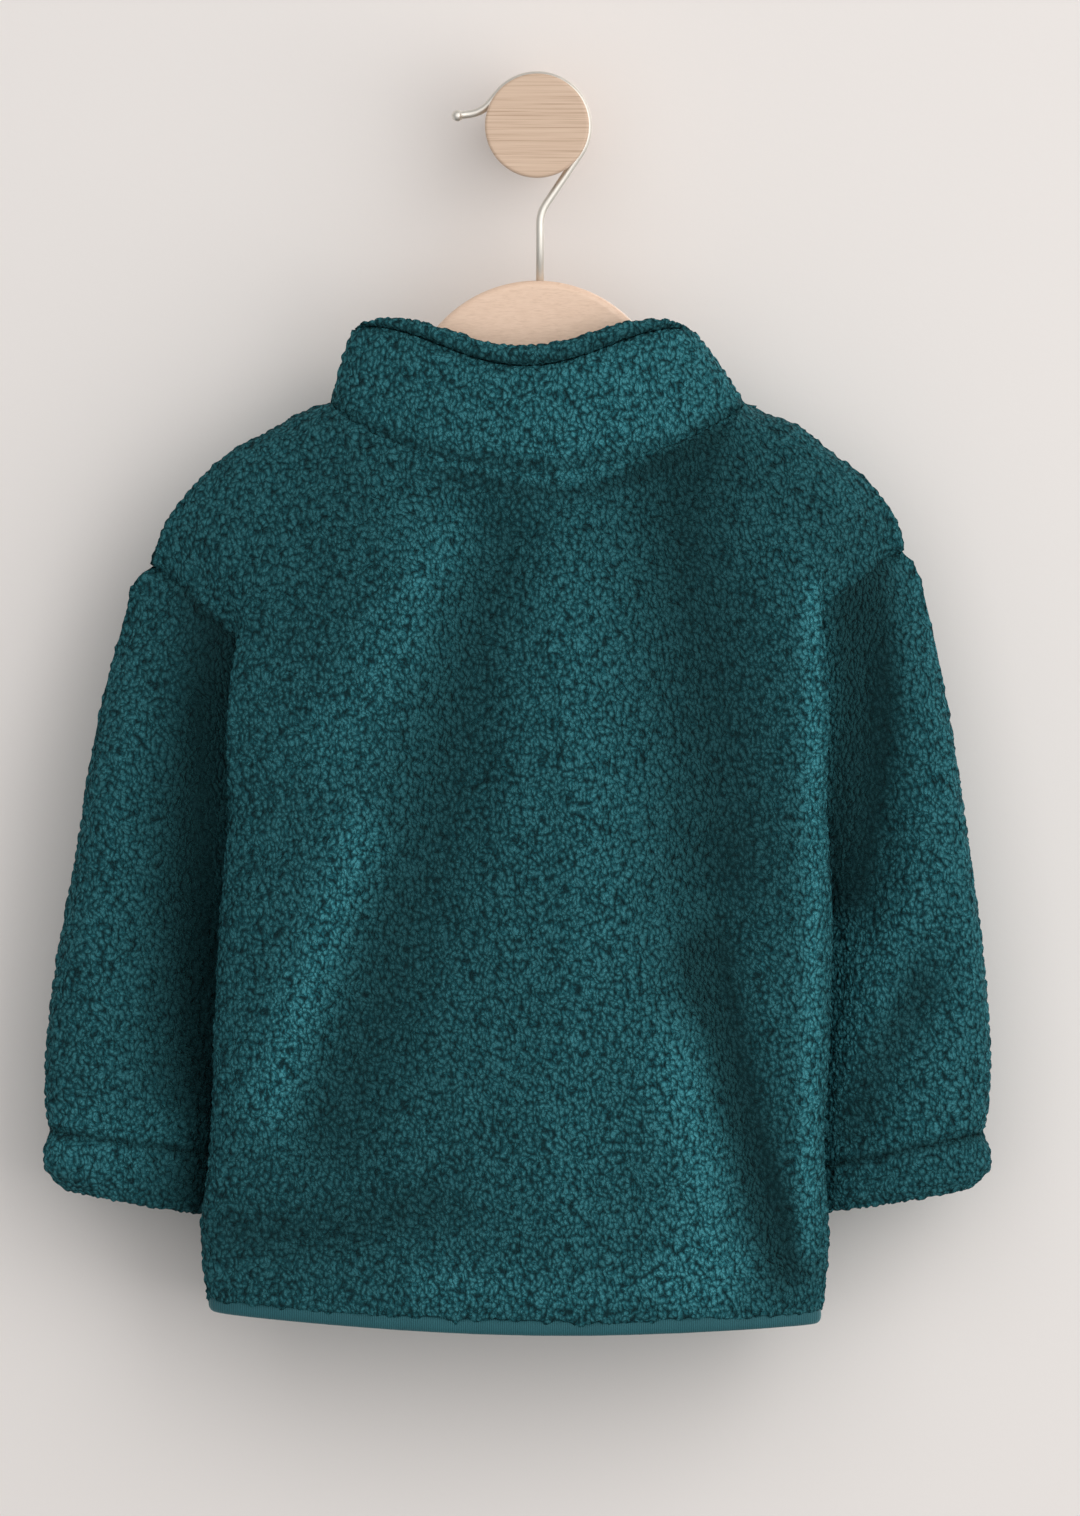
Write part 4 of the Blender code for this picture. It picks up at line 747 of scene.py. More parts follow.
lipped_ups = np.concatenate([np.zeros(3), BODY_UPS])  # with the three rows of the hem's lip
at_tip = ease((lipped_ups - 0.95) / 0.04)[:, None]
side_dip = SEAM_PRESSED + (SEAM_DIP - SEAM_PRESSED) * at_tip
back_dips = {"start": 0.0, "end": top_dip(back_grid), "first": side_dip, "last": side_dip}
back_grid = hem_lip(back_grid)
back = fleece_piece("back_panel", back_grid, painted_shading=body_painted_shading(FOLDS_BACK, back_grid), **back_dips)
hung(back, "back")

# ---------------------------------------------------------------- fronts
# The two fronts are cut from the same fleece. They meet the back at the shoulder and side seams,
# and stop at the zip, which leaves a strip of tape and teeth 13 mm wide between them.

ZIP_HALF_WIDTH = 0.0065
ARMHOLE_FRONT = table(
    "up left_x left_z right_x right_z y",
    (
        (0.70, -0.1190, -0.2900, 0.1100, -0.2840, -0.0340),
        (0.80, -0.1270, -0.2570, 0.1180, -0.2500, -0.0280),
        (0.90, -0.1410, -0.2270, 0.1330, -0.2160, -0.0310),
        (0.96, -0.1560, -0.2070, 0.1500, -0.1960, -0.0420),
        (1.00, -0.1710, -0.1920, 0.1630, -0.1860, HANG_Y),
    ),
)
FOLDS_FRONT = table(
    "height width x1 z1 x2 z2 x3 z3",
    (
        (-0.0055, 0.020, -0.060, -0.190, -0.072, -0.320, -0.066, -0.450),
        (+0.0040, 0.020, -0.030, -0.210, -0.032, -0.330, -0.040, -0.470),
        (+0.0040, 0.020, 0.034, -0.200, 0.030, -0.320, 0.024, -0.460),
        (-0.0055, 0.020, 0.062, -0.180, 0.074, -0.330, 0.082, -0.470),
        (+0.0040, 0.018, -0.104, -0.250, -0.106, -0.360, -0.112, -0.470),
    ),
)
FRONT = {
    "way": 1,  # towards the wall
    "armhole": ARMHOLE_FRONT,
    "folds": FOLDS_FRONT,
    "depth": "front",
    "reach": "front_reach",
    "neck": 0.0510,
    "hem": 0.0075,
}
FRONT_SHARES = np.linspace(0, 1, 158)
WAYS = {"left": -1, "right": 1}


def front_line(up, hand):
    """One line of a front, from the zip to the side."""
    row = torso_row(FRONT, up)
    edge = (row[0, 0] + row[-1, 0]) / 2 + WAYS[hand] * ZIP_HALF_WIDTH
    kept = row[(row[:, 0] - edge) * WAYS[hand] > 0.0003]
    start = [edge] + [np.interp(edge, row[:, 0], row[:, k]) for k in (1, 2)]
    return np.concatenate([[start], kept if hand == "right" else kept[::-1]])


for hand in ("left", "right"):
    grid = np.stack([along(front_line(up, hand), FRONT_SHARES) for up in BODY_UPS])
    grid = grid if hand == "left" else grid[:, ::-1]
    dips = {"start": 0.0, "end": top_dip(grid)}
    dips["last" if hand == "left" else "first"] = side_dip
    grid = hem_lip(grid)
    front = fleece_piece(f"front_panel_{hand}", grid, painted_shading=body_painted_shading(FOLDS_FRONT, grid), **dips)
    hung(front, f"front_{hand}")

# ---------------------------------------------------------------- sleeves
# Each sleeve is one tube of fleece, set into the dropped armhole. It hangs slack beside the body,
# pinched a little where it leaves the armhole and creased above the cuff.

SLEEVE_LEFT = table(
    "down outer_x outer_z outer_y inner_x inner_z inner_y half lean",
    (
        (0.00, -0.1710, -0.1920, -0.0555, -0.1165, -0.3180, -0.0480, 0.0240, 0.10),
        (0.04, -0.1815, -0.2010, -0.0535, -0.1195, -0.3250, -0.0440, 0.0240, 0.30),
        (0.10, -0.1850, -0.2180, -0.0525, -0.1225, -0.3330, -0.0400, 0.0240, 0.60),
        (0.22, -0.1940, -0.2570, -0.0520, -0.1265, -0.3480, -0.0370, 0.0240, 0.75),
        (0.40, -0.2025, -0.3130, -0.0515, -0.1285, -0.3720, -0.0365, 0.0240, 0.75),
        (0.60, -0.2125, -0.3690, -0.0510, -0.1330, -0.4020, -0.0370, 0.0240, 0.70),
        (0.80, -0.2172, -0.4140, -0.0510, -0.1370, -0.4300, -0.0385, 0.0235, 0.55),
        (1.00, -0.2160, -0.4420, -0.0510, -0.1400, -0.4530, -0.0400, 0.0205, 0.30),
    ),
)
SLEEVE_RIGHT = table(
    "down outer_x outer_z outer_y inner_x inner_z inner_y half lean",
    (
        (0.00, 0.1630, -0.1860, -0.0555, 0.1080, -0.3150, -0.0480, 0.0240, 0.10),
        (0.04, 0.1700, -0.1970, -0.0535, 0.1110, -0.3220, -0.0440, 0.0240, 0.30),
        (0.10, 0.1745, -0.2160, -0.0525, 0.1140, -0.3300, -0.0400, 0.0240, 0.60),
        (0.22, 0.1815, -0.2530, -0.0520, 0.1180, -0.3450, -0.0370, 0.0240, 0.75),
        (0.40, 0.1895, -0.3070, -0.0515, 0.1195, -0.3700, -0.0370, 0.0240, 0.60),
        (0.60, 0.1970, -0.3630, -0.0510, 0.1200, -0.4020, -0.0380, 0.0240, 0.30),
        (0.80, 0.2003, -0.4110, -0.0510, 0.1195, -0.4340, -0.0390, 0.0240, 0.15),
        (1.00, 0.1980, -0.4430, -0.0510, 0.1190, -0.4590, -0.0400, 0.0205, 0.10),
    ),
)
FOLDS_SLEEVES = table(
    "height width x1 z1 x2 z2 x3 z3",
    (
        (-0.0070, 0.012, -0.146, -0.258, -0.149, -0.330, -0.147, -0.400),
        (+0.0040, 0.016, -0.186, -0.270, -0.190, -0.340, -0.186, -0.420),
        (-0.0065, 0.014, 0.142, -0.222, 0.148, -0.290, 0.146, -0.350),
        (+0.0040, 0.014, 0.154, -0.352, 0.148, -0.385, 0.140, -0.415),
        (-0.0060, 0.014, 0.172, -0.372, 0.160, -0.405, 0.144, -0.432),
    ),
)
# Strokes of painted shade (-) and painted light (+) on the sleeves: painted shade where the body shades
# their inner sides.
PAINTED_SHADING_SLEEVES = table(
    "height width x1 z1 x2 z2 x3 z3",
    (
        (-0.80, 0.022, -0.137, -0.205, -0.148, -0.310, -0.146, -0.460),
        (+0.42, 0.015, -0.206, -0.444, -0.180, -0.446, -0.165, -0.444),
        (-0.98, 0.017, 0.143, -0.200, 0.145, -0.258, 0.135, -0.330),
        (-0.50, 0.012, 0.168, -0.380, 0.150, -0.412, 0.139, -0.440),
        (+0.10, 0.010, 0.162, -0.345, 0.150, -0.368, 0.139, -0.392),
    ),
)
ARMHOLE_BLEND = 0.34  # share of a sleeve in which the armhole's shape becomes the sleeve's own
ARM_UPS = np.linspace(1, UNDERARM, 100)
RING_SHARES = np.linspace(0, 1, 100)
SLEEVE_ROWS = 176
TIP_DIP = 0.0020  # how far the pile is pulled in at the shoulder's tip
# Painted light: the right sleeve's pile is painted lighter, as the light falls from the right.
SLEEVE_PAINTED_LIGHT = {"left": 1.0, "right": 1.20}
PAINTED_SHADE_ABOVE_CUFF = np.array([0.9, 0.75, 0.6, 0.5])[:, None]  # painted shade on the pile's last rows, at the cuff's seam


def half_rings(both, hand):
    """A loop of the room's half and the wall's half, ordered to turn its faces outwards."""
    loop = np.concatenate([both[0][:-1], both[1][:0:-1]])
    return loop if hand == "right" else np.concatenate([loop[:1], loop[:0:-1]])


def tube_halves(sections, at, shares):
    """The two halves of a sleeve's section, from its outer point to its inner one."""
    outer, inner = (
        np.array([smooth(sections["down"], sections[f"{side}_{k}"], at) for k in "xyz"])
        for side in ("outer", "inner")
    )
    half = smooth(sections["down"], sections["half"], at)
    angle = np.linspace(0, math.pi, 121)[:, None]
    flat = (outer + inner) / 2 + (outer - inner) / 2 * np.cos(angle)
    bow = np.array([0.0, half, 0.0]) * np.clip(np.sin(angle), 0, 1) ** 0.85
    lean = 1 - smooth(sections["down"], sections["lean"], at) * ((1 - np.cos(angle)) / 2) ** 1.5
    return [along(flat - bow * lean, shares[0]), along(flat + bow, shares[1])]


def sleeve_grid(sections, hand, downs):
    """A sleeve's rings, from the armhole's own shape down to the cuff."""
    edges = [side_edge(face, hand, ARM_UPS) for face in (BACK, FRONT)]
    centre = (edges[0][0] + edges[0][-1]) / 2
    own = [lengths(edge) / lengths(edge)[-1] for edge in edges]
    rows = []
    for down in downs:
        blend = ease(down / ARMHOLE_BLEND)
        shares = [at * (1 - blend) + RING_SHARES * blend for at in own]
        halves = tube_halves(sections, down, shares)
        middle = (halves[0][0] + halves[0][-1]) / 2
        both = [
            middle + (edge - centre) * (1 - blend) + (half - middle) * blend
            for edge, half in zip(edges, halves)
        ]
        row = half_rings(both, hand)
        lift = fold_height(FOLDS_SLEEVES, row[:, 0], row[:, 2])
        lift *= ease(down / 0.15) * ease((1 - down) / 0.08)
        row[:, 1] -= lift * np.clip((middle[1] - row[:, 1]) / 0.02, -1.0, 1.0)
        rows.append(row)
    return np.stack(rows)


for hand, sections in (("left", SLEEVE_LEFT), ("right", SLEEVE_RIGHT)):
    grid = sleeve_grid(sections, hand, np.linspace(0, 1, SLEEVE_ROWS))
    fold = fold_height(FOLDS_SLEEVES, grid[..., 0], grid[..., 2])
    stroke_shading = fold_height(PAINTED_SHADING_SLEEVES, grid[..., 0], grid[..., 2])
    painted_shading = np.clip(1.0 + 12 * fold + stroke_shading, 0.2, 1.4) * SLEEVE_PAINTED_LIGHT[hand]
    painted_shading[-4:] *= PAINTED_SHADE_ABOVE_CUFF
    below_tip = ease((grid[0, :, 2].max() - grid[0, :, 2] - 0.005) / 0.012)
    start = TIP_DIP + (SEAM_PRESSED - TIP_DIP) * below_tip
    sleeve = fleece_piece(f"sleeve_tube_{hand}", grid, True, painted_shading=painted_shading, start=start, end=0.0013)
    hung(sleeve, f"sleeve_{hand}")

# ---------------------------------------------------------------- cuffs
# The sleeves end in deep hems. The fleece is turned up inside and sewn round, so that a cuff is
# two layers thick, and its lower edge is a soft roll.

CUFF_THICKNESS = 0.0065
CUFF_LAYER = 0.0026  # one of its two layers
TURN_UP = 0.010  # how far the turned-up layer is made inside
CUFF_ROWS = 24
ROLL_START = 0.93  # how far down the cuff its lower edge starts to roll in
PAINTED_SHADE_BELOW_SEAM = np.array([0.5, 0.7, 0.9])[:, None]  # painted shade on the pile's first rows, at the seam
CUFF_LEFT = table(
    "down outer_x outer_z outer_y inner_x inner_z inner_y half lean",
    (
        (0.00, -0.2160, -0.4420, -0.0510, -0.1400, -0.4530, -0.0400, 0.0205, 0.30),
        (0.35, -0.2180, -0.4520, -0.0510, -0.1395, -0.4630, -0.0400, 0.0215, 0.30),
        (0.75, -0.2152, -0.4618, -0.0510, -0.1405, -0.4740, -0.0400, 0.0210, 0.30),
        (1.00, -0.2050, -0.4712, -0.0500, -0.1450, -0.4800, -0.0410, 0.0165, 0.30),
    ),
)
CUFF_RIGHT = table(
    "down outer_x outer_z outer_y inner_x inner_z inner_y half lean",
    (
        (0.00, 0.1980, -0.4430, -0.0510, 0.1190, -0.4590, -0.0400, 0.0205, 0.10),
        (0.35, 0.2005, -0.4530, -0.0510, 0.1190, -0.4680, -0.0400, 0.0215, 0.10),
        (0.75, 0.1978, -0.4620, -0.0510, 0.1200, -0.4750, -0.0400, 0.0210, 0.10),
        (1.00, 0.1870, -0.4708, -0.0500, 0.1245, -0.4790, -0.0410, 0.0165, 0.10),
    ),
)


def turned_up(grid, radius, depth):
    """A tube's grid carried on round its last row and back up inside by this depth."""
    edge = grid[-1]
    out = outward(grid, True)[-1]
    ahead = np.cross(out, np.gradient(np.concatenate([edge[-1:], edge, edge[:1]]), axis=0)[1:-1])
    ahead /= np.linalg.norm(ahead, axis=1, keepdims=True)
    ahead *= np.sign(np.sum(ahead * (edge - grid[-3]), axis=1, keepdims=True))
    rows = [
        edge + ahead * radius * math.sin(a) - out * radius * (1 - math.cos(a))
        for a in np.linspace(0, math.pi, 9)[1:]
    ]
    rows += [rows[-1] - ahead * s for s in np.linspace(0, depth, 7)[1:]]
    return np.concatenate([grid, rows])


for hand, sections in (("left", CUFF_LEFT), ("right", CUFF_RIGHT)):
    shares = [RING_SHARES, RING_SHARES]
    downs = np.linspace(0, ROLL_START, CUFF_ROWS)
    rows = [half_rings(tube_halves(sections, down, shares), hand) for down in downs]
    grid = turned_up(np.stack(rows), CUFF_THICKNESS / 2, TURN_UP)
    # The sleeves' strokes of painted light and shade go on over the cuffs.
    painted_shading = 1.0 + fold_height(PAINTED_SHADING_SLEEVES, grid[..., 0], grid[..., 2])
    painted_shading[:3] *= PAINTED_SHADE_BELOW_SEAM
    cuff = fleece_piece(f"cuff_hem_{hand}", grid, True, CUFF_LAYER, painted_shading=painted_shading, start=0.0013, end=0.0)
    hung(cuff, f"cuff_{hand}")

# ---------------------------------------------------------------- collar
# The stand collar is a band of fleece round the neck, higher at the middle of the back than at its
# corners, where it leans in a little over the hanger.

COLLAR_TOP_SHIFT = -0.0065
COLLAR_TOP_WIDTH = 0.824
COLLAR_TOP_DEPTH = 0.86
COLLAR_BULGE = 0.0003
COLLAR_THICKNESS = 0.0042
COLLAR_CLOTH = 0.0036
COLLAR_FOOT = 0.0080  # how far the seam's turnings reach inside the panels
# Painted shade on the collar's first rows, along its seam.
PAINTED_SHADE_ABOVE_SEAM = np.array([0.6, 0.6, 0.6, 0.66, 0.78, 0.9, 0.97])[:, None]
COLLAR_RISE = table(  # place is 1 at the middle of the back, 0 at the sides and -1 at the zip
    "place rise",
    (
        (-1.00, 0.0485),
        (-0.50, 0.0450),
        (0.00, 0.0322),
        (0.35, 0.0404),
        (0.66, 0.0508),
        (0.82, 0.0548),
        (0.94, 0.0545),
        (1.00, 0.0526),
    ),
)
COLLAR_CREASE = table("place share", ((-1, 0.90), (0, 0.90), (0.7, 0.86), (1, 0.80)))
HALF_NECK_SHARES = np.linspace(0, 1, 96)


def neck_loop():
    """The panels' neckline, from the zip round the left of the neck and the back."""
    ends = []
    for hand, way in WAYS.items():
        line = front_line(1.0, hand)
        neck = np.interp(NECK_HALF_WIDTH, way * line[:, 0], lengths(line)) / lengths(line)[-1]
        ends.append(along(line, neck * HALF_NECK_SHARES))
    top = torso_row(BACK, 1.0)
    run = lengths(top) / lengths(top)[-1]
    left, right = np.interp([-NECK_HALF_WIDTH, NECK_HALF_WIDTH], top[:, 0], run)
    middle = along(top, np.linspace(left, right, 170))
    return np.concatenate([ends[0][:-1], middle, ends[1][-2::-1]])


def place_round(base):
    """1 at the middle of the back of the neck, 0 at its sides and -1 at the zip."""
    turn = np.clip(base[:, 0] / NECK_HALF_WIDTH, -1, 1)
    return np.where(base[:, 1] < HANG_Y, 1.0, -1.0) * np.sqrt(1 - turn**2)


def collar_face(base, heights):
    """The collar's outer face above its seam, for each height from 0 to 1."""
    where = place_round(base)
    from_zip = base[:, 0] - (base[0, 0] + base[-1, 0]) / 2
    zip_kept = np.clip(from_zip, -ZIP_HALF_WIDTH, ZIP_HALF_WIDTH) * (1 - COLLAR_TOP_WIDTH)
    zip_kept *= np.where(where < 0, np.exp(-((from_zip / 0.03) ** 4)), 0.0)
    top = base.copy()
    top[:, 0] = base[:, 0] * COLLAR_TOP_WIDTH + COLLAR_TOP_SHIFT + zip_kept
    top[:, 1] = HANG_Y + (base[:, 1] - HANG_Y) * COLLAR_TOP_DEPTH
    top[:, 2] = base[:, 2] + smooth(COLLAR_RISE["place"], COLLAR_RISE["rise"], where)
    out = base - np.array([0.0, HANG_Y, 0.0])
    out[:, 2] = 0.0
    out /= np.linalg.norm(out, axis=1, keepdims=True)
    return np.stack(
        [base + (top - base) * h + out * COLLAR_BULGE * 4 * h * (1 - h) for h in heights]
    )


def at_heights(whole, heights):
    """The points of a finely stepped face, at one height for each of its columns."""
    at = np.clip(heights, 0, 1) * (len(whole) - 1)
    low = np.minimum(at.astype(int), len(whole) - 2)
    column = np.arange(whole.shape[1])
    t = (at - low)[:, None]
    return whole[low, column] * (1 - t) + whole[low + 1, column] * t


neck = neck_loop()
crease = smooth(COLLAR_CREASE["place"], COLLAR_CREASE["share"], place_round(neck))
whole_collar = collar_face(neck, np.linspace(0, 1, 81))
grid = np.stack([at_heights(whole_collar, level * crease) for level in np.linspace(0, 1, 34)])
foot = grid[0] - grid[3]
foot *= COLLAR_FOOT / np.linalg.norm(foot, axis=1, keepdims=True)
grid = np.concatenate([grid[:1] + foot, grid[:1] + foot / 2, grid])
# Painted light: the collar's pile is painted lighter all round, and lighter still on the room's side
# right of the middle.
painted_light = np.exp(-(((grid[..., 0] - 0.036) / 0.050) ** 2)) * (grid[..., 1] < HANG_Y)
behind_neck = np.clip(place_round(neck) * 1.6, 0, 1)
painted_shading = 1.18 + 0.34 * painted_light
painted_shading[:7] *= PAINTED_SHADE_ABOVE_SEAM
collar = fleece_piece(
    "collar_band",
    grid,
    thickness=COLLAR_CLOTH,
    painted_shading=painted_shading,
    start=0.0012 + 0.0022 * behind_neck,
    end=0.0004 + 0.0013 * behind_neck,
)
hung(collar, "collar")

# ---------------------------------------------------------------- collar lining
# The inner collar is fleece too. It stands inside the outer band, rolls out over the top edge and
# is sewn down there, which leaves a plump edge along the collar's top, with painted shade in its crease.

COLLAR_LINING = 0.0032
LINING_CLOTH = 0.0028
LINING_PILE = 0.0012
LINING_ENDS = 0.0043  # how far its ends stay back from the zip
LINING_LAP = 0.020  # how far up from the band's crease the lining is sewn down, as a share
lined = neck.copy()
for end, beside in ((0, 4), (-1, -5)):
    step = neck[beside] - neck[end]
    lined[end] = neck[end] + step / np.linalg.norm(step) * LINING_ENDS
    for k in range(1, 4):
        lined[end + (k if end == 0 else -k)] = lined[end] + (neck[beside] - lined[end]) * k / 4
whole_lining = collar_face(lined, np.linspace(0, 1, 81))
lining_out = outward(whole_lining, False)
inside = COLLAR_THICKNESS + 0.001
foot, middle, top = (np.full(len(lined), share) for share in (0.03, 0.45, 1.0))
low = crease + LINING_LAP
profile = (  # the height, and the depth below the outer face
    (low - 0.01, 0.0024),
    (low + 0.01, 0.0010),
    (low + (1 - low) * 0.30, 0.0003),
    (low + (1 - low) * 0.65, 0.0006),
    (top, 0.0032),
    (top, inside + 0.0015),
    (low, inside + COLLAR_LINING + 0.0006),
    (middle, inside + COLLAR_LINING),
    (foot, inside + COLLAR_LINING),
)
profile_heights = np.stack([height for height, _ in profile], axis=1)
profile_depths = np.array([depth for _, depth in profile])
knots = np.array([0.0, 0.3, 0.6, 0.9, 1.3, 1.8, 2.6, 4.2, 6.0])
steps = np.concatenate([np.linspace(0, 2.2, 20), np.linspace(2.35, 6.0, 26)])
rows = []
for step in steps:
    heights = np.array([np.interp(step, knots, column) for column in profile_heights])
    depth = smooth(knots, profile_depths, step)
    tucked = depth + 0.0012 * np.exp(-((place_round(lined)[:, None] / 0.35) ** 2)) * (step < 1.3)
    rows.append(at_heights(whole_lining, heights) - at_heights(lining_out, heights) * tucked)
# Painted shade in the crease where the lining is sewn down, deepest behind the neck.
deep = (1 - ease((np.arange(len(rows)) - 2) / 5))[:, None]
painted_shading = 1 - 0.42 * deep * np.clip(place_round(lined) * 1.6, 0, 1)
undipped = dict.fromkeys(("start", "end", "first", "last"), 0.0)
grid = np.stack(rows)
lining = fleece_piece("collar_roll", grid, False, LINING_CLOTH, LINING_PILE, painted_shading, **undipped)
hung(lining, "collar_lining")

# ---------------------------------------------------------------- hem binding
# A narrow stretch jersey binding is folded over the hem all round and topstitched. It is cut
# shorter than the hem, so it draws the edge in a little and puckers softly.

BINDING_PROFILE = np.array(  # depth below the pile's face, and how far below the fleece's edge
    [
        (0.0026, 0.0005),
        (0.0018, 0.0030),
        (0.0022, 0.0060),
        (0.0040, 0.0075),
        (0.0058, 0.0060),
        (0.0060, 0.0030),
        (0.0052, 0.0005),
    ]
)
BINDING_CORE = 0.0038  # the depth at the middle of its fold


def closed_curve(corners, count):
    """A smooth closed line through the corners, as this many points."""
    around = np.concatenate([corners[-2:], corners, corners[:2]])
    knots = np.arange(len(around)) - 2.0
    at = np.linspace(0, len(corners), count, endpoint=False)
    return np.stack([smooth(knots, around[:, k], at) for k in range(corners.shape[1])], axis=1)


def skin(name, rings, material, node=None):
    """A smooth skin over a row of rings, closed at both ends, in its solid's place if one is named."""
    rings = np.asarray(rings, float)
    rows, columns = rings.shape[:2]
    points = rings.reshape(-1, 3)
    faces = grid_faces(rows, columns, True)
    quads = (points - points.mean(axis=0))[np.array(faces)]
    volume = np.sum(np.cross(quads[:, 0], quads[:, 1]) * quads[:, 2])
    volume += np.sum(np.cross(quads[:, 0], quads[:, 2]) * quads[:, 3])
    faces += [list(range(columns))[::-1], list(range((rows - 1) * columns, rows * columns))]
    if volume < 0:
        faces = [face[::-1] for face in faces]
    obj = mesh_object(name, points, faces, material)
    obj.data.shade_smooth()
    for face in obj.data.polygons[-2:]:
        face.use_smooth = False
    if node:
        put_in_place(obj, node)
    return obj


def jersey_material():
    """Smooth teal jersey: fine upright ribs, a faint sheen, and a slightly mottled dye."""
    sheen = {"Sheen Weight": 0.35, "Sheen Roughness": 0.35, "Sheen Tint": (0.5, 0.85, 0.9, 1)}
    made, place = finish("teal jersey", {"Roughness": 0.72, "Specular IOR Level": 0.25} | sheen)
    ribs = shader_node(
        made,
        "TexWave",
        {"Vector": place, "Scale": 330, "Distortion": 1.2, "Detail": 1, "Detail Scale": 2},
        bands_direction="X",
    )
    loops = shader_node(made, "TexNoise", {"Vector": place, "Scale": 2400, "Detail": 2})
    dye = shader_node(made, "TexNoise", {"Vector": place, "Scale": 60, "Detail": 2})
    relief = maths(made, "MULTIPLY_ADD", ribs["Fac"], 0.7, loops["Fac"])
    colours = (
        (0.0, (0.011, 0.068, 0.082)),
        (0.5, (0.016, 0.092, 0.110)),
        (1.0, (0.024, 0.118, 0.140)),
    )
    colour = ramp(made, relief, 0.35, 1.25, colours)
    tone = shader_node(made, "MapRange", {"Value": dye["Fac"], "To Min": 0.86, "To Max": 1.14})
    worn = shader_node(made, "HueSaturation", {"Color": colour, "Value": tone["Result"]})
    bump = shader_node(made, "Bump", {"Height": relief, "Strength": 0.7, "Distance": 0.00025})
    return wire_up(made, Base_Color=worn["Color"], Normal=bump["Normal"])


JERSEY = jersey_material()
fronts_hem = [front_line(0.0, hand) for hand in ("left", "right")]
hem = np.concatenate([fronts_hem[0], torso_row(BACK, 0.0)[1:-1], fronts_hem[1][::-1]])
hem = along(hem, np.linspace(0.002, 0.998, 560))
hem_out = np.cross(np.gradient(hem, axis=0), (0.0, 0.0, 1.0))
hem_out /= np.linalg.norm(hem_out, axis=1, keepdims=True)
puckers = 0.00030 * drift(hem, 0.009)[:, 0] + 0.00022 * drift(hem, 0.004)[:, 1]
profile = closed_curve(BINDING_PROFILE, 20)
rings = []
for point, out, pucker in zip(hem, hem_out, puckers):
    depth = (profile[:, :1] - BINDING_CORE) * (1 + 60 * pucker) + BINDING_CORE - pucker
    drop = profile[:, 1:] * (1 - 40 * pucker)
    rings.append(point - out * depth + np.array([0.0, 0.0, -1.0]) * drop)
binding = skin("hem_strip", rings, JERSEY, "hem_binding")

# ---------------------------------------------------------------- zip
# The two woven polyester tapes are sewn under the fronts' edges. Moulded teeth are clenched on
# their cords, one tape's between the other's, and the zip is closed up to the collar.

TAPE_HALF_WIDTH = 0.0090
TAPE_DEPTH = 0.0042  # from the pile's face down to the tapes'
TAPE_THICKNESS = 0.0010
TAPE_ROWS = 260
CHAIN_HALF_WIDTH = 0.0023
CHAIN_FACE = 0.0030
CHAIN_BACK = 0.0056
CHAIN_START = 0.006  # shares of the tapes' length
CHAIN_END = 0.985
TOOTH_PITCH = 0.0025
TOOTH_HALF_WIDTH = 0.00145
TOOTH_HALF_LENGTH = 0.00075
TOOTH_HALF_DEPTH = 0.001235
TOOTH_ASIDE = 0.0008  # how far each tape's teeth stand to its own side
TOOTH_RINGS = ((-1, 0.8), (-0.7, 1), (0.7, 1), (1, 0.8))  # shares of its depth and of its outline
TOOTH_CORNERS = [(-1, -0.6), (-0.6, -1), (0.6, -1), (1, -0.6)]  # half of its outline
TOOTH_OUTLINE = TOOTH_CORNERS + [(-x, -z) for x, z in TOOTH_CORNERS]
SIDEWAYS = np.array([1.0, 0.0, 0.0])


def zip_frames(count, start=0.0, end=1.0):
    """Places along the zip, the directions out of it and the directions up it."""
    body = [
        (front_line(up, "left")[0] + front_line(up, "right")[0]) / 2
        for up in np.linspace(0, 1, 60)[:-1]
    ]
    rise = collar_face(neck, np.linspace(0.08, 0.93, 12))
    line = np.concatenate([np.array(body), (rise[:, 0] + rise[:, -1]) / 2])
    line = along(line, np.linspace(start, end, count))
    ahead = np.gradient(line, axis=0)
    ahead /= np.linalg.norm(ahead, axis=1, keepdims=True)
    out = np.cross(ahead, SIDEWAYS)
    out *= np.sign(out[:, 1:2])
    return line, out / np.linalg.norm(out, axis=1, keepdims=True), ahead


def tape_rings(inner, outer):
    """A tape's section along the zip, thin and with rounded edges."""
    turn = np.linspace(0, 2 * math.pi, 14, endpoint=False)
    across = np.sign(np.cos(turn)) * np.abs(np.cos(turn)) ** 0.5
    across = (inner + outer) / 2 + np.abs(outer - inner) / 2 * across
    deep = np.sign(np.sin(turn)) * np.abs(np.sin(turn)) ** 0.5
    deep = TAPE_DEPTH + TAPE_THICKNESS / 2 * (1 - deep)
    line, out, _ = zip_frames(TAPE_ROWS)
    return line[:, None] + SIDEWAYS * across[:, None] - out[:, None] * deep[:, None]


def woven_material(name, dark, light):
    """A plain woven tape with a fine herringbone."""
    made, place = finish(name, {"Roughness": 0.8, "Specular IOR Level": 0.3})
    weave = shader_node(
        made,
        "TexWave",
        {"Vector": place, "Scale": 700, "Distortion": 2.0, "Detail": 1},
        bands_direction="DIAGONAL",
    )
    colour = ramp(made, weave["Fac"], 0, 1, ((0, dark), (1, light)))
    bump = shader_node(made, "Bump", {"Height": weave["Fac"], "Strength": 0.5, "Distance": 0.0002})
    return wire_up(made, Base_Color=colour, Normal=bump["Normal"])


TAPE = woven_material("teal zip tape", (0.014, 0.080, 0.098), (0.024, 0.120, 0.142))
ZIP_LENGTH = 0.455
for hand, way in WAYS.items():
    rings = tape_rings(way * (CHAIN_HALF_WIDTH - 0.0006), way * TAPE_HALF_WIDTH)
    tape = skin(f"woven_tape_{hand}", rings, TAPE, f"zip_tape_{hand}")

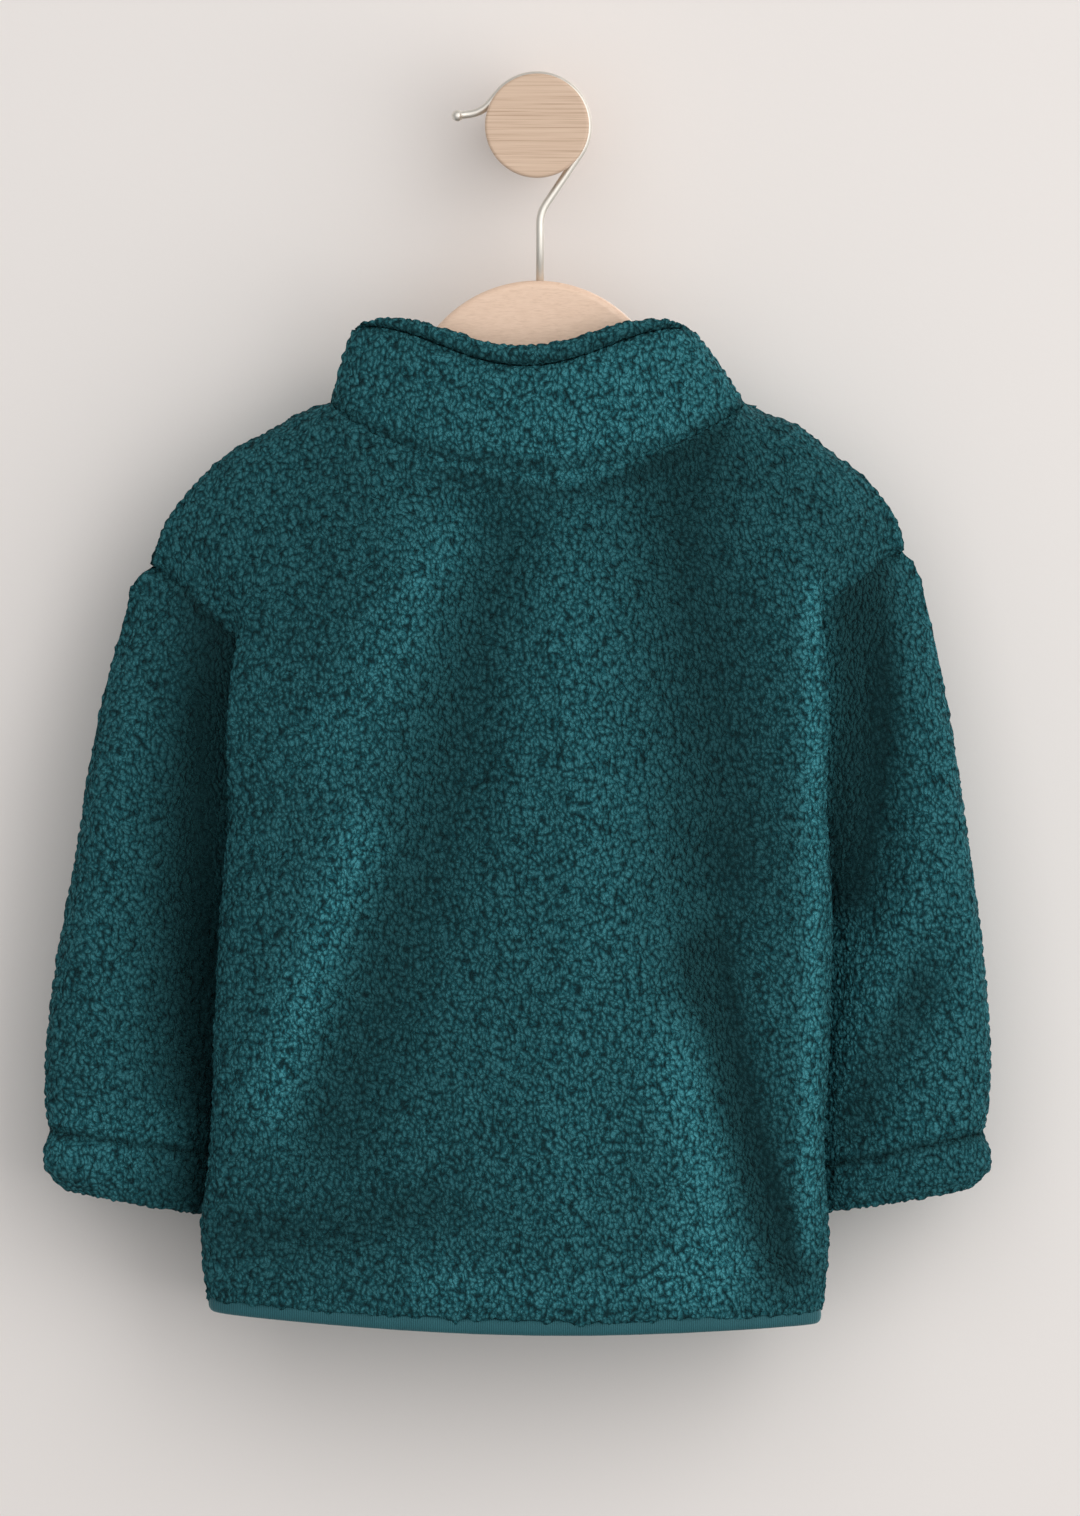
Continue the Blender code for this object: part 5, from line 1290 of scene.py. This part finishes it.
moulded = {"Base Color": (0.016, 0.088, 0.108, 1), "Roughness": 0.45, "Specular IOR Level": 0.35}
TEETH, _ = finish("moulded teal teeth", moulded)
count = int(ZIP_LENGTH * (CHAIN_END - CHAIN_START) / TOOTH_PITCH * 2)
line, out, ahead = zip_frames(count, CHAIN_START, CHAIN_END)
tooth_faces = grid_faces(len(TOOTH_RINGS), len(TOOTH_OUTLINE), True)
tooth_faces += [list(range(8))[::-1], list(range(24, 32))]
points = []
faces = []
for k in range(count):
    way = 1 if k % 2 else -1
    centre = line[k] + SIDEWAYS * way * TOOTH_ASIDE - out[k] * (CHAIN_FACE + CHAIN_BACK) / 2
    faces += [[len(points) + corner for corner in face] for face in tooth_faces]
    for level, inset in TOOTH_RINGS:
        middle = centre + out[k] * level * TOOTH_HALF_DEPTH
        for x, z in TOOTH_OUTLINE:
            aside = SIDEWAYS * x * inset * TOOTH_HALF_WIDTH
            points.append(middle + aside + ahead[k] * z * inset * TOOTH_HALF_LENGTH)
put_in_place(mesh_object("zip_teeth", points, faces, TEETH), "zip_chain")

# ---------------------------------------------------------------- zip slider and pull tab
# The slider is die-cast and nickelled: a shield-shaped plate with turned-down sides and a wire
# bridge, which holds the pull tab by its eye.

SLIDER_LENGTH = 0.0105
SLIDER_HALF_WIDTH = 0.0042
SLIDER_TAIL_HALF_WIDTH = 0.0030
SLIDER_PLATE = 0.0012
SLIDER_ROUND = 0.0016
SLIDER_EDGE = 0.0005
SLIDER_SIDE_RADIUS = 0.0005
SLIDER_SIDE_X = (0.0036, 0.0037, 0.0028)  # its turned-down sides, from the head to the tail
SLIDER_BELOW_END = 0.012  # how far it stands below the chain's end, as a share of the zip
ZIP_PLACES = 400
BRIDGE_RADIUS = 0.0006
BRIDGE_HEIGHT = 0.0036
BRIDGE_HALF_LENGTH = 0.0034
BRIDGE_SUNK = 0.0006  # how far its feet go into the plate
PULL_LENGTH = 0.0190
PULL_HALF_WIDTH = 0.0032
PULL_TOP_HALF_WIDTH = 0.0027
PULL_SHOULDER = 0.0070  # how far down the tab reaches its full width
PULL_THICKNESS = 0.0014
PULL_ROUND = 0.0022
PULL_EDGE = 0.0004
PULL_PLAY = 0.0005  # between the tab and the bridge above it
EYE_TOP = 0.0013
EYE_BAR = 0.00085
EYE_BOTTOM = 0.0050
EYE_HALF_WIDTH = 0.0012
EYE_ROUND = 0.0007
EYE_MIDDLE = np.array([0.0, -0.0020])


def metal_material(name, colour, roughness, brushed):
    """Plated metal, a little uneven in its gloss."""
    made, place = finish(name, {"Metallic": 1.0, "Base Color": (*colour, 1)})
    worn = shader_node(made, "TexNoise", {"Vector": place, "Scale": 420, "Detail": 3})
    rough = shader_node(
        made,
        "MapRange",
        {"Value": worn["Fac"], "To Min": roughness - 0.06, "To Max": roughness + 0.08},
    )
    bump = shader_node(
        made, "Bump", {"Height": worn["Fac"], "Strength": brushed, "Distance": 0.0001}
    )
    return wire_up(made, Roughness=rough["Result"], Normal=bump["Normal"])


NICKEL = metal_material("nickelled metal", (0.76, 0.73, 0.67), 0.44, 0.10)
slider_index = int((CHAIN_END - SLIDER_BELOW_END) * (ZIP_PLACES - 1))
slider_place, slider_out, _ = (values[slider_index] for values in zip_frames(ZIP_PLACES))
slider_up = np.cross(SIDEWAYS, slider_out)


def on_zip(points, lift=0.0):
    """Points given as sideways, out of the front and up the zip, moved to the slider's place."""
    points = np.asarray(points, float)
    return (
        slider_place
        + points[..., :1] * SIDEWAYS
        + (points[..., 1:2] + lift) * slider_out
        + points[..., 2:] * slider_up
    )


def two_sided(right):
    """A closed outline from the corners of its right half, top to bottom."""
    top_left = (-right[0][0], right[0][1])
    return [top_left] + right + [(-x, z) for x, z in right[:0:-1]]


def rounded_outline(corners, radius, count):
    """A closed line through the corners with each corner rounded."""
    corners = np.asarray(corners, float)
    line = []
    for before, here, after in zip(np.roll(corners, 1, 0), corners, np.roll(corners, -1, 0)):
        ends = []
        for other in (before, after):
            gap = np.linalg.norm(other - here)
            ends.append(here + (other - here) / gap * min(radius, gap * 0.49))
        for t in np.linspace(0, 1, 9):
            line.append(ends[0] * (1 - t) ** 2 + here * 2 * t * (1 - t) + ends[1] * t**2)
    line = np.array(line + line[:1])
    line = np.concatenate([line, np.zeros((len(line), 3 - line.shape[1]))], axis=1)
    return along(line, np.linspace(0, 1, count, endpoint=False))[:, : corners.shape[1]]


def plate_rings(outline, low, high, edge):
    """A plate's rings from its back face round the rounded side to its front face."""
    closed = np.concatenate([outline[-1:], outline, outline[:1]])
    tangent = closed[2:] - closed[:-2]
    inward = np.stack([-tangent[:, 1], tangent[:, 0]], axis=1)
    inward /= np.linalg.norm(inward, axis=1, keepdims=True)
    if np.sum(inward * (outline.mean(axis=0) - outline)) < 0:
        inward = -inward
    rings = []
    for angle in np.linspace(-math.pi / 2, math.pi / 2, 9):
        middle = low + edge if angle < 0 else high - edge
        flat = outline + inward * edge * (1 - math.cos(angle))
        level = np.full((len(flat), 1), middle + edge * math.sin(angle))
        rings.append(np.concatenate([flat[:, :1], level, flat[:, 1:]], axis=1))
    return np.array(rings)


def tube(points, radii, sides=16):
    """Rings round a line of points."""
    points = np.asarray(points, float)
    ahead = np.gradient(points, axis=0)
    ahead /= np.linalg.norm(ahead, axis=1, keepdims=True)
    side = np.cross(ahead[0], (0.3, 1.0, 0.2))
    turn = np.linspace(0, 2 * math.pi, sides, endpoint=False)
    rings = []
    for point, way, radius in zip(points, ahead, np.broadcast_to(radii, len(points))):
        side = side - way * (side @ way)
        side = side / np.linalg.norm(side)
        up = np.cross(way, side)
        rings.append(point + radius * (np.outer(np.cos(turn), side) + np.outer(np.sin(turn), up)))
    return rings


def joined(objects):
    """Several skins made into the first one."""
    bpy.ops.object.select_all(action="DESELECT")
    for obj in objects:
        obj.select_set(True)
    bpy.context.view_layer.objects.active = objects[0]
    bpy.ops.object.join()
    return objects[0]


slider_low = -CHAIN_FACE + 0.0005
slider_face = slider_low + SLIDER_PLATE
half = SLIDER_LENGTH / 2
shield = two_sided(
    [(SLIDER_HALF_WIDTH, half), (SLIDER_HALF_WIDTH, 0.0), (SLIDER_TAIL_HALF_WIDTH, -half)]
)
shield = rounded_outline(shield, SLIDER_ROUND, 72)
plate = plate_rings(shield, slider_low, slider_face, SLIDER_EDGE)
slider = [skin("slider_body", on_zip(plate), NICKEL)]
arch = [
    (
        0.0,
        (BRIDGE_HEIGHT + BRIDGE_SUNK) * math.sin(a) ** 0.7 - BRIDGE_SUNK,
        BRIDGE_HALF_LENGTH * math.cos(a),
    )
    for a in np.linspace(0, math.pi, 33)
]
bridge = on_zip(tube(arch, BRIDGE_RADIUS), slider_face)
slider.append(skin("slider_bridge", bridge, NICKEL))
for way in (-1, 1):
    ups = (half * 0.8, 0, -half * 0.8)
    side = [(way * x, slider_low - 0.0002, up) for x, up in zip(SLIDER_SIDE_X, ups)]
    slider.append(skin(f"slider_side_{way}", on_zip(tube(side, SLIDER_SIDE_RADIUS)), NICKEL))
put_in_place(joined(slider), "zip_slider")


def round_the_eye(loop, angles):
    """A loop's points at these angles round the middle of the eye."""
    at = np.arctan2(*(loop - EYE_MIDDLE).T)
    order = np.argsort(at)
    far = np.linalg.norm(loop - EYE_MIDDLE, axis=1)
    reach = np.interp(angles, at[order], far[order], period=2 * math.pi)
    return EYE_MIDDLE + reach[:, None] * np.stack([np.sin(angles), np.cos(angles)], axis=1)


def pull_tab_rings():
    """The tab's rings, from the eye's edge over its face, round the rim and back to the eye."""
    rim = [
        (PULL_TOP_HALF_WIDTH, EYE_TOP),
        (PULL_HALF_WIDTH, -PULL_SHOULDER),
        (PULL_HALF_WIDTH, -PULL_LENGTH),
    ]
    eye = [(EYE_HALF_WIDTH, EYE_TOP - EYE_BAR), (EYE_HALF_WIDTH, -EYE_BOTTOM)]
    angles = np.linspace(-math.pi, math.pi, 120, endpoint=False)
    rim = round_the_eye(rounded_outline(two_sided(rim), PULL_ROUND, 96), angles)
    eye = round_the_eye(rounded_outline(two_sided(eye), EYE_ROUND, 96), angles)
    outwards = rim - eye
    outwards /= np.linalg.norm(outwards, axis=1, keepdims=True)
    flat = PULL_THICKNESS / 2
    eased = flat - PULL_EDGE * 0.3
    square = flat - PULL_EDGE
    face = [(eye, 1, flat), (rim, -1, flat), (rim, -0.3, eased), (rim, 0, square)]
    back = [(rim, 0, -square), (rim, -0.3, -eased), (rim, -1, -flat), (eye, 1, -flat)]
    hole = [(eye, 0.3, -eased), (eye, 0, -square), (eye, 0, square), (eye, 0.3, eased)]
    rings = []
    for loop, inset, level in face + back + hole:
        moved = loop + outwards * inset * PULL_EDGE
        levels = np.full((len(moved), 1), level)
        rings.append(np.concatenate([moved[:, :1], levels, moved[:, 1:]], axis=1))
    return np.array(rings)


pivot = slider_face + BRIDGE_HEIGHT - BRIDGE_RADIUS - PULL_PLAY - PULL_THICKNESS / 2
rings = on_zip(pull_tab_rings(), pivot)
rows, columns = rings.shape[:2]
faces = grid_faces(rows + 1, columns, True)
faces = [[k % (rows * columns) for k in face] for face in faces]
pull = mesh_object("pull_tab_plate", rings.reshape(-1, 3), faces, NICKEL)
put_in_place(pull, "zip_pull", "pull_tab")

# ---------------------------------------------------------------- hanger
# The hanger is sawn from a pale beech board 12 mm thick, with rounded edges, and waxed. Only its
# crown shows above the collar; its arms carry the shoulders from inside.

HANGER_THICKNESS = 0.0120
HANGER_EDGE = 0.0032
CROWN_TOP_Z = -0.0678
CROWN_RADIUS = 0.0580
CROWN_END_X = 0.0440
HANGER_ARM = table(
    "x z",
    (
        (CROWN_END_X, -0.0880),
        (0.0560, -0.1020),
        (0.0690, -0.1172),
        (0.0810, -0.1269),
        (0.0950, -0.1324),
        (0.1080, -0.1366),
        (0.1260, -0.1471),
        (0.1370, -0.1622),
    ),
)
HANGER_BOTTOM = table(
    "x z",
    (
        (0.0000, -0.1260),
        (0.0400, -0.1340),
        (0.0800, -0.1560),
        (0.1120, -0.1740),
        (0.1300, -0.1800),
    ),
)


def beech_material(name, colours, stretch):
    """Pale waxed beech: long soft grain lines and short darker flecks."""
    made, place = finish(name, {"Roughness": 0.42, "Specular IOR Level": 0.4, "Coat Weight": 0.08})
    at = shader_node(made, "VectorMath", {0: place, 1: stretch}, operation="MULTIPLY")["Vector"]
    bands = shader_node(
        made, "TexNoise", {"Vector": at, "Scale": 1.0, "Detail": 4, "Distortion": 0.6}
    )["Fac"]
    flecks_at = shader_node(made, "VectorMath", {0: at, 1: (2.5, 6.0, 6.0)}, operation="MULTIPLY")
    flecks = shader_node(made, "TexNoise", {"Vector": flecks_at["Vector"], "Scale": 1.0})["Fac"]
    mixed = maths(made, "MULTIPLY_ADD", flecks, 0.35, bands)
    colour = ramp(made, mixed, 0.42, 0.92, colours)
    bump = shader_node(made, "Bump", {"Height": mixed, "Strength": 0.25, "Distance": 0.0002})
    return wire_up(made, Base_Color=colour, Normal=bump["Normal"])


BEECH_COLOURS = (
    (0.00, (0.73, 0.520, 0.385)),
    (0.45, (0.81, 0.590, 0.445)),
    (1.00, (0.86, 0.640, 0.495)),
)
BEECH = beech_material("pale beech", BEECH_COLOURS, (260, 900, 1500))
top_x = np.linspace(0, HANGER_ARM["x"][-1], 120)
crown = CROWN_TOP_Z - CROWN_RADIUS + np.sqrt(np.maximum(CROWN_RADIUS**2 - top_x**2, 0))
tops = np.where(top_x < CROWN_END_X, crown, smooth(HANGER_ARM["x"], HANGER_ARM["z"], top_x))
low_x = np.linspace(HANGER_BOTTOM["x"][-1], 0, 60)
lows = smooth(HANGER_BOTTOM["x"], HANGER_BOTTOM["z"], low_x)
right = np.concatenate([np.stack([top_x, tops], axis=1), np.stack([low_x, lows], axis=1)])
outline = np.concatenate([right, (right * (-1, 1))[1:-1][::-1], right[:1]])
outline = np.concatenate([outline, np.zeros((len(outline), 1))], axis=1)
outline = along(outline, np.linspace(0, 1, 520, endpoint=False))[:, :2]
for _ in range(14):
    outline = (np.roll(outline, 1, 0) + np.roll(outline, -1, 0) + 2 * outline) / 4
board = plate_rings(outline, -HANGER_THICKNESS / 2, HANGER_THICKNESS / 2, HANGER_EDGE)
board += (0, HANG_Y, 0)
skin("beech_hanger", board, BEECH, "hanger")

# ---------------------------------------------------------------- hook
# The hook is nickelled steel wire. It rises from the crown, bends aside and goes round over the
# peg, and its free end turns out a little to a small ball.

WIRE_RADIUS = 0.00175
PEG_SEAT_RADIUS = 0.0202
HOOK_PLAY = 0.0005  # between the wire and the peg's seat
HOOK_RADIUS = PEG_SEAT_RADIUS + HOOK_PLAY + WIRE_RADIUS
HOOK_X = 0.0013
HOOK_STEM_TOP_Z = -0.0382
HOOK_IN_WOOD = 0.0155
HOOK_BEND = 0.005
HOOK_ARC_START = math.radians(-32)
HOOK_ARC_END = math.radians(140)
HOOK_TIP = np.array([-0.0350, HANG_Y, 0.0046])
TIP_STRAIGHT = 0.011  # how far the wire runs straight on before it turns out
TIP_BEND = 0.006
BALL_SIZE = 1.45  # the ball's radius, in the wire's


def bent_wire(corners, radius, count=12):
    """A line whose corners are turned into arcs."""
    made = [np.array(corners[0])]
    for before, here, after in zip(corners, corners[1:], corners[2:]):
        ends = []
        for other in (before, after):
            step = np.subtract(other, here)
            gap = np.linalg.norm(step)
            ends.append(here + step / gap * min(radius, gap / 2))
        for t in np.linspace(0, 1, count):
            turned = np.multiply(here, 2 * t * (1 - t))
            made.append(ends[0] * (1 - t) ** 2 + turned + ends[1] * t**2)
    return made + [np.array(corners[-1])]


def on_arc(angle):
    """A point of the hook's round part, about the peg's middle."""
    return np.array([HOOK_RADIUS * math.cos(angle), HANG_Y, HOOK_RADIUS * math.sin(angle)])


foot = np.array([HOOK_X, HANG_Y, CROWN_TOP_Z - HOOK_IN_WOOD])
stem_top = np.array([HOOK_X, HANG_Y, HOOK_STEM_TOP_Z])
wire = bent_wire([foot, stem_top, on_arc(HOOK_ARC_START)], HOOK_BEND)
wire += [on_arc(a) for a in np.linspace(HOOK_ARC_START, HOOK_ARC_END, 90)[1:]]
straight_on = np.array([-math.sin(HOOK_ARC_END), 0.0, math.cos(HOOK_ARC_END)])
wire = wire[:-1] + bent_wire([wire[-1], wire[-1] + straight_on * TIP_STRAIGHT, HOOK_TIP], TIP_BEND)
end = wire[-1]
ahead = (end - wire[-2]) / np.linalg.norm(end - wire[-2])
ball = WIRE_RADIUS * BALL_SIZE
turns = np.linspace(math.pi - math.asin(1 / BALL_SIZE), 0.06, 14)
radii = [WIRE_RADIUS] * (len(wire) - 1) + [ball * math.sin(a) for a in turns]
wire = wire[:-1] + [end + ahead * ball * math.cos(a) for a in turns]
skin("wire_hook", tube(wire, radii, 24), NICKEL, "hook")

# ---------------------------------------------------------------- wall peg
# The peg is turned from the same pale beech: a flat round head, a seat for the hook behind it and
# a stem that narrows to the wall.

PEG_LENGTH = 0.0700
PEG_HEAD_RADIUS = 0.0229
PEG_EDGE = 0.0013
PEG_SEAT_FRONT = 0.0580  # how far from the wall the hook's seat starts and ends
PEG_SEAT_BACK = 0.0500
PEG_FOOT_RADIUS = 0.0165
PEG_COLOURS = (
    (0.00, (0.44, 0.300, 0.205)),
    (0.28, (0.53, 0.375, 0.265)),
    (0.42, (0.62, 0.450, 0.330)),
    (1.00, (0.69, 0.520, 0.390)),
)
PEG_WOOD = beech_material("turned beech", PEG_COLOURS, (18, 60, 1700))
inset = PEG_HEAD_RADIUS - PEG_EDGE
profile = [(0.0006, PEG_LENGTH), (inset - 0.0008, PEG_LENGTH)]  # radius, and distance from the wall
profile += [
    (inset + PEG_EDGE * math.sin(a), PEG_LENGTH - PEG_EDGE + PEG_EDGE * math.cos(a))
    for a in np.linspace(0, math.pi / 2, 8)
]
profile += [
    (inset + PEG_EDGE * math.cos(a), PEG_SEAT_FRONT + PEG_EDGE - PEG_EDGE * math.sin(a))
    for a in np.linspace(0, math.pi / 2, 6)
]
profile += [
    (PEG_SEAT_RADIUS + 0.0003, PEG_SEAT_FRONT),
    (PEG_SEAT_RADIUS, PEG_SEAT_FRONT - 0.0003),
    (PEG_SEAT_RADIUS, PEG_SEAT_BACK + 0.0005),
    (PEG_SEAT_RADIUS - 0.0002, PEG_SEAT_BACK - 0.0005),
    (PEG_FOOT_RADIUS, 0.0),
]
turn = np.linspace(0, 2 * math.pi, 96, endpoint=False)
rings = [
    np.stack([radius * np.cos(turn), np.full(96, -from_wall), radius * np.sin(turn)], axis=1)
    for radius, from_wall in profile
]
skin("turned_peg", rings, PEG_WOOD, "wall_peg")

# ---------------------------------------------------------------- closing lines

low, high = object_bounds()
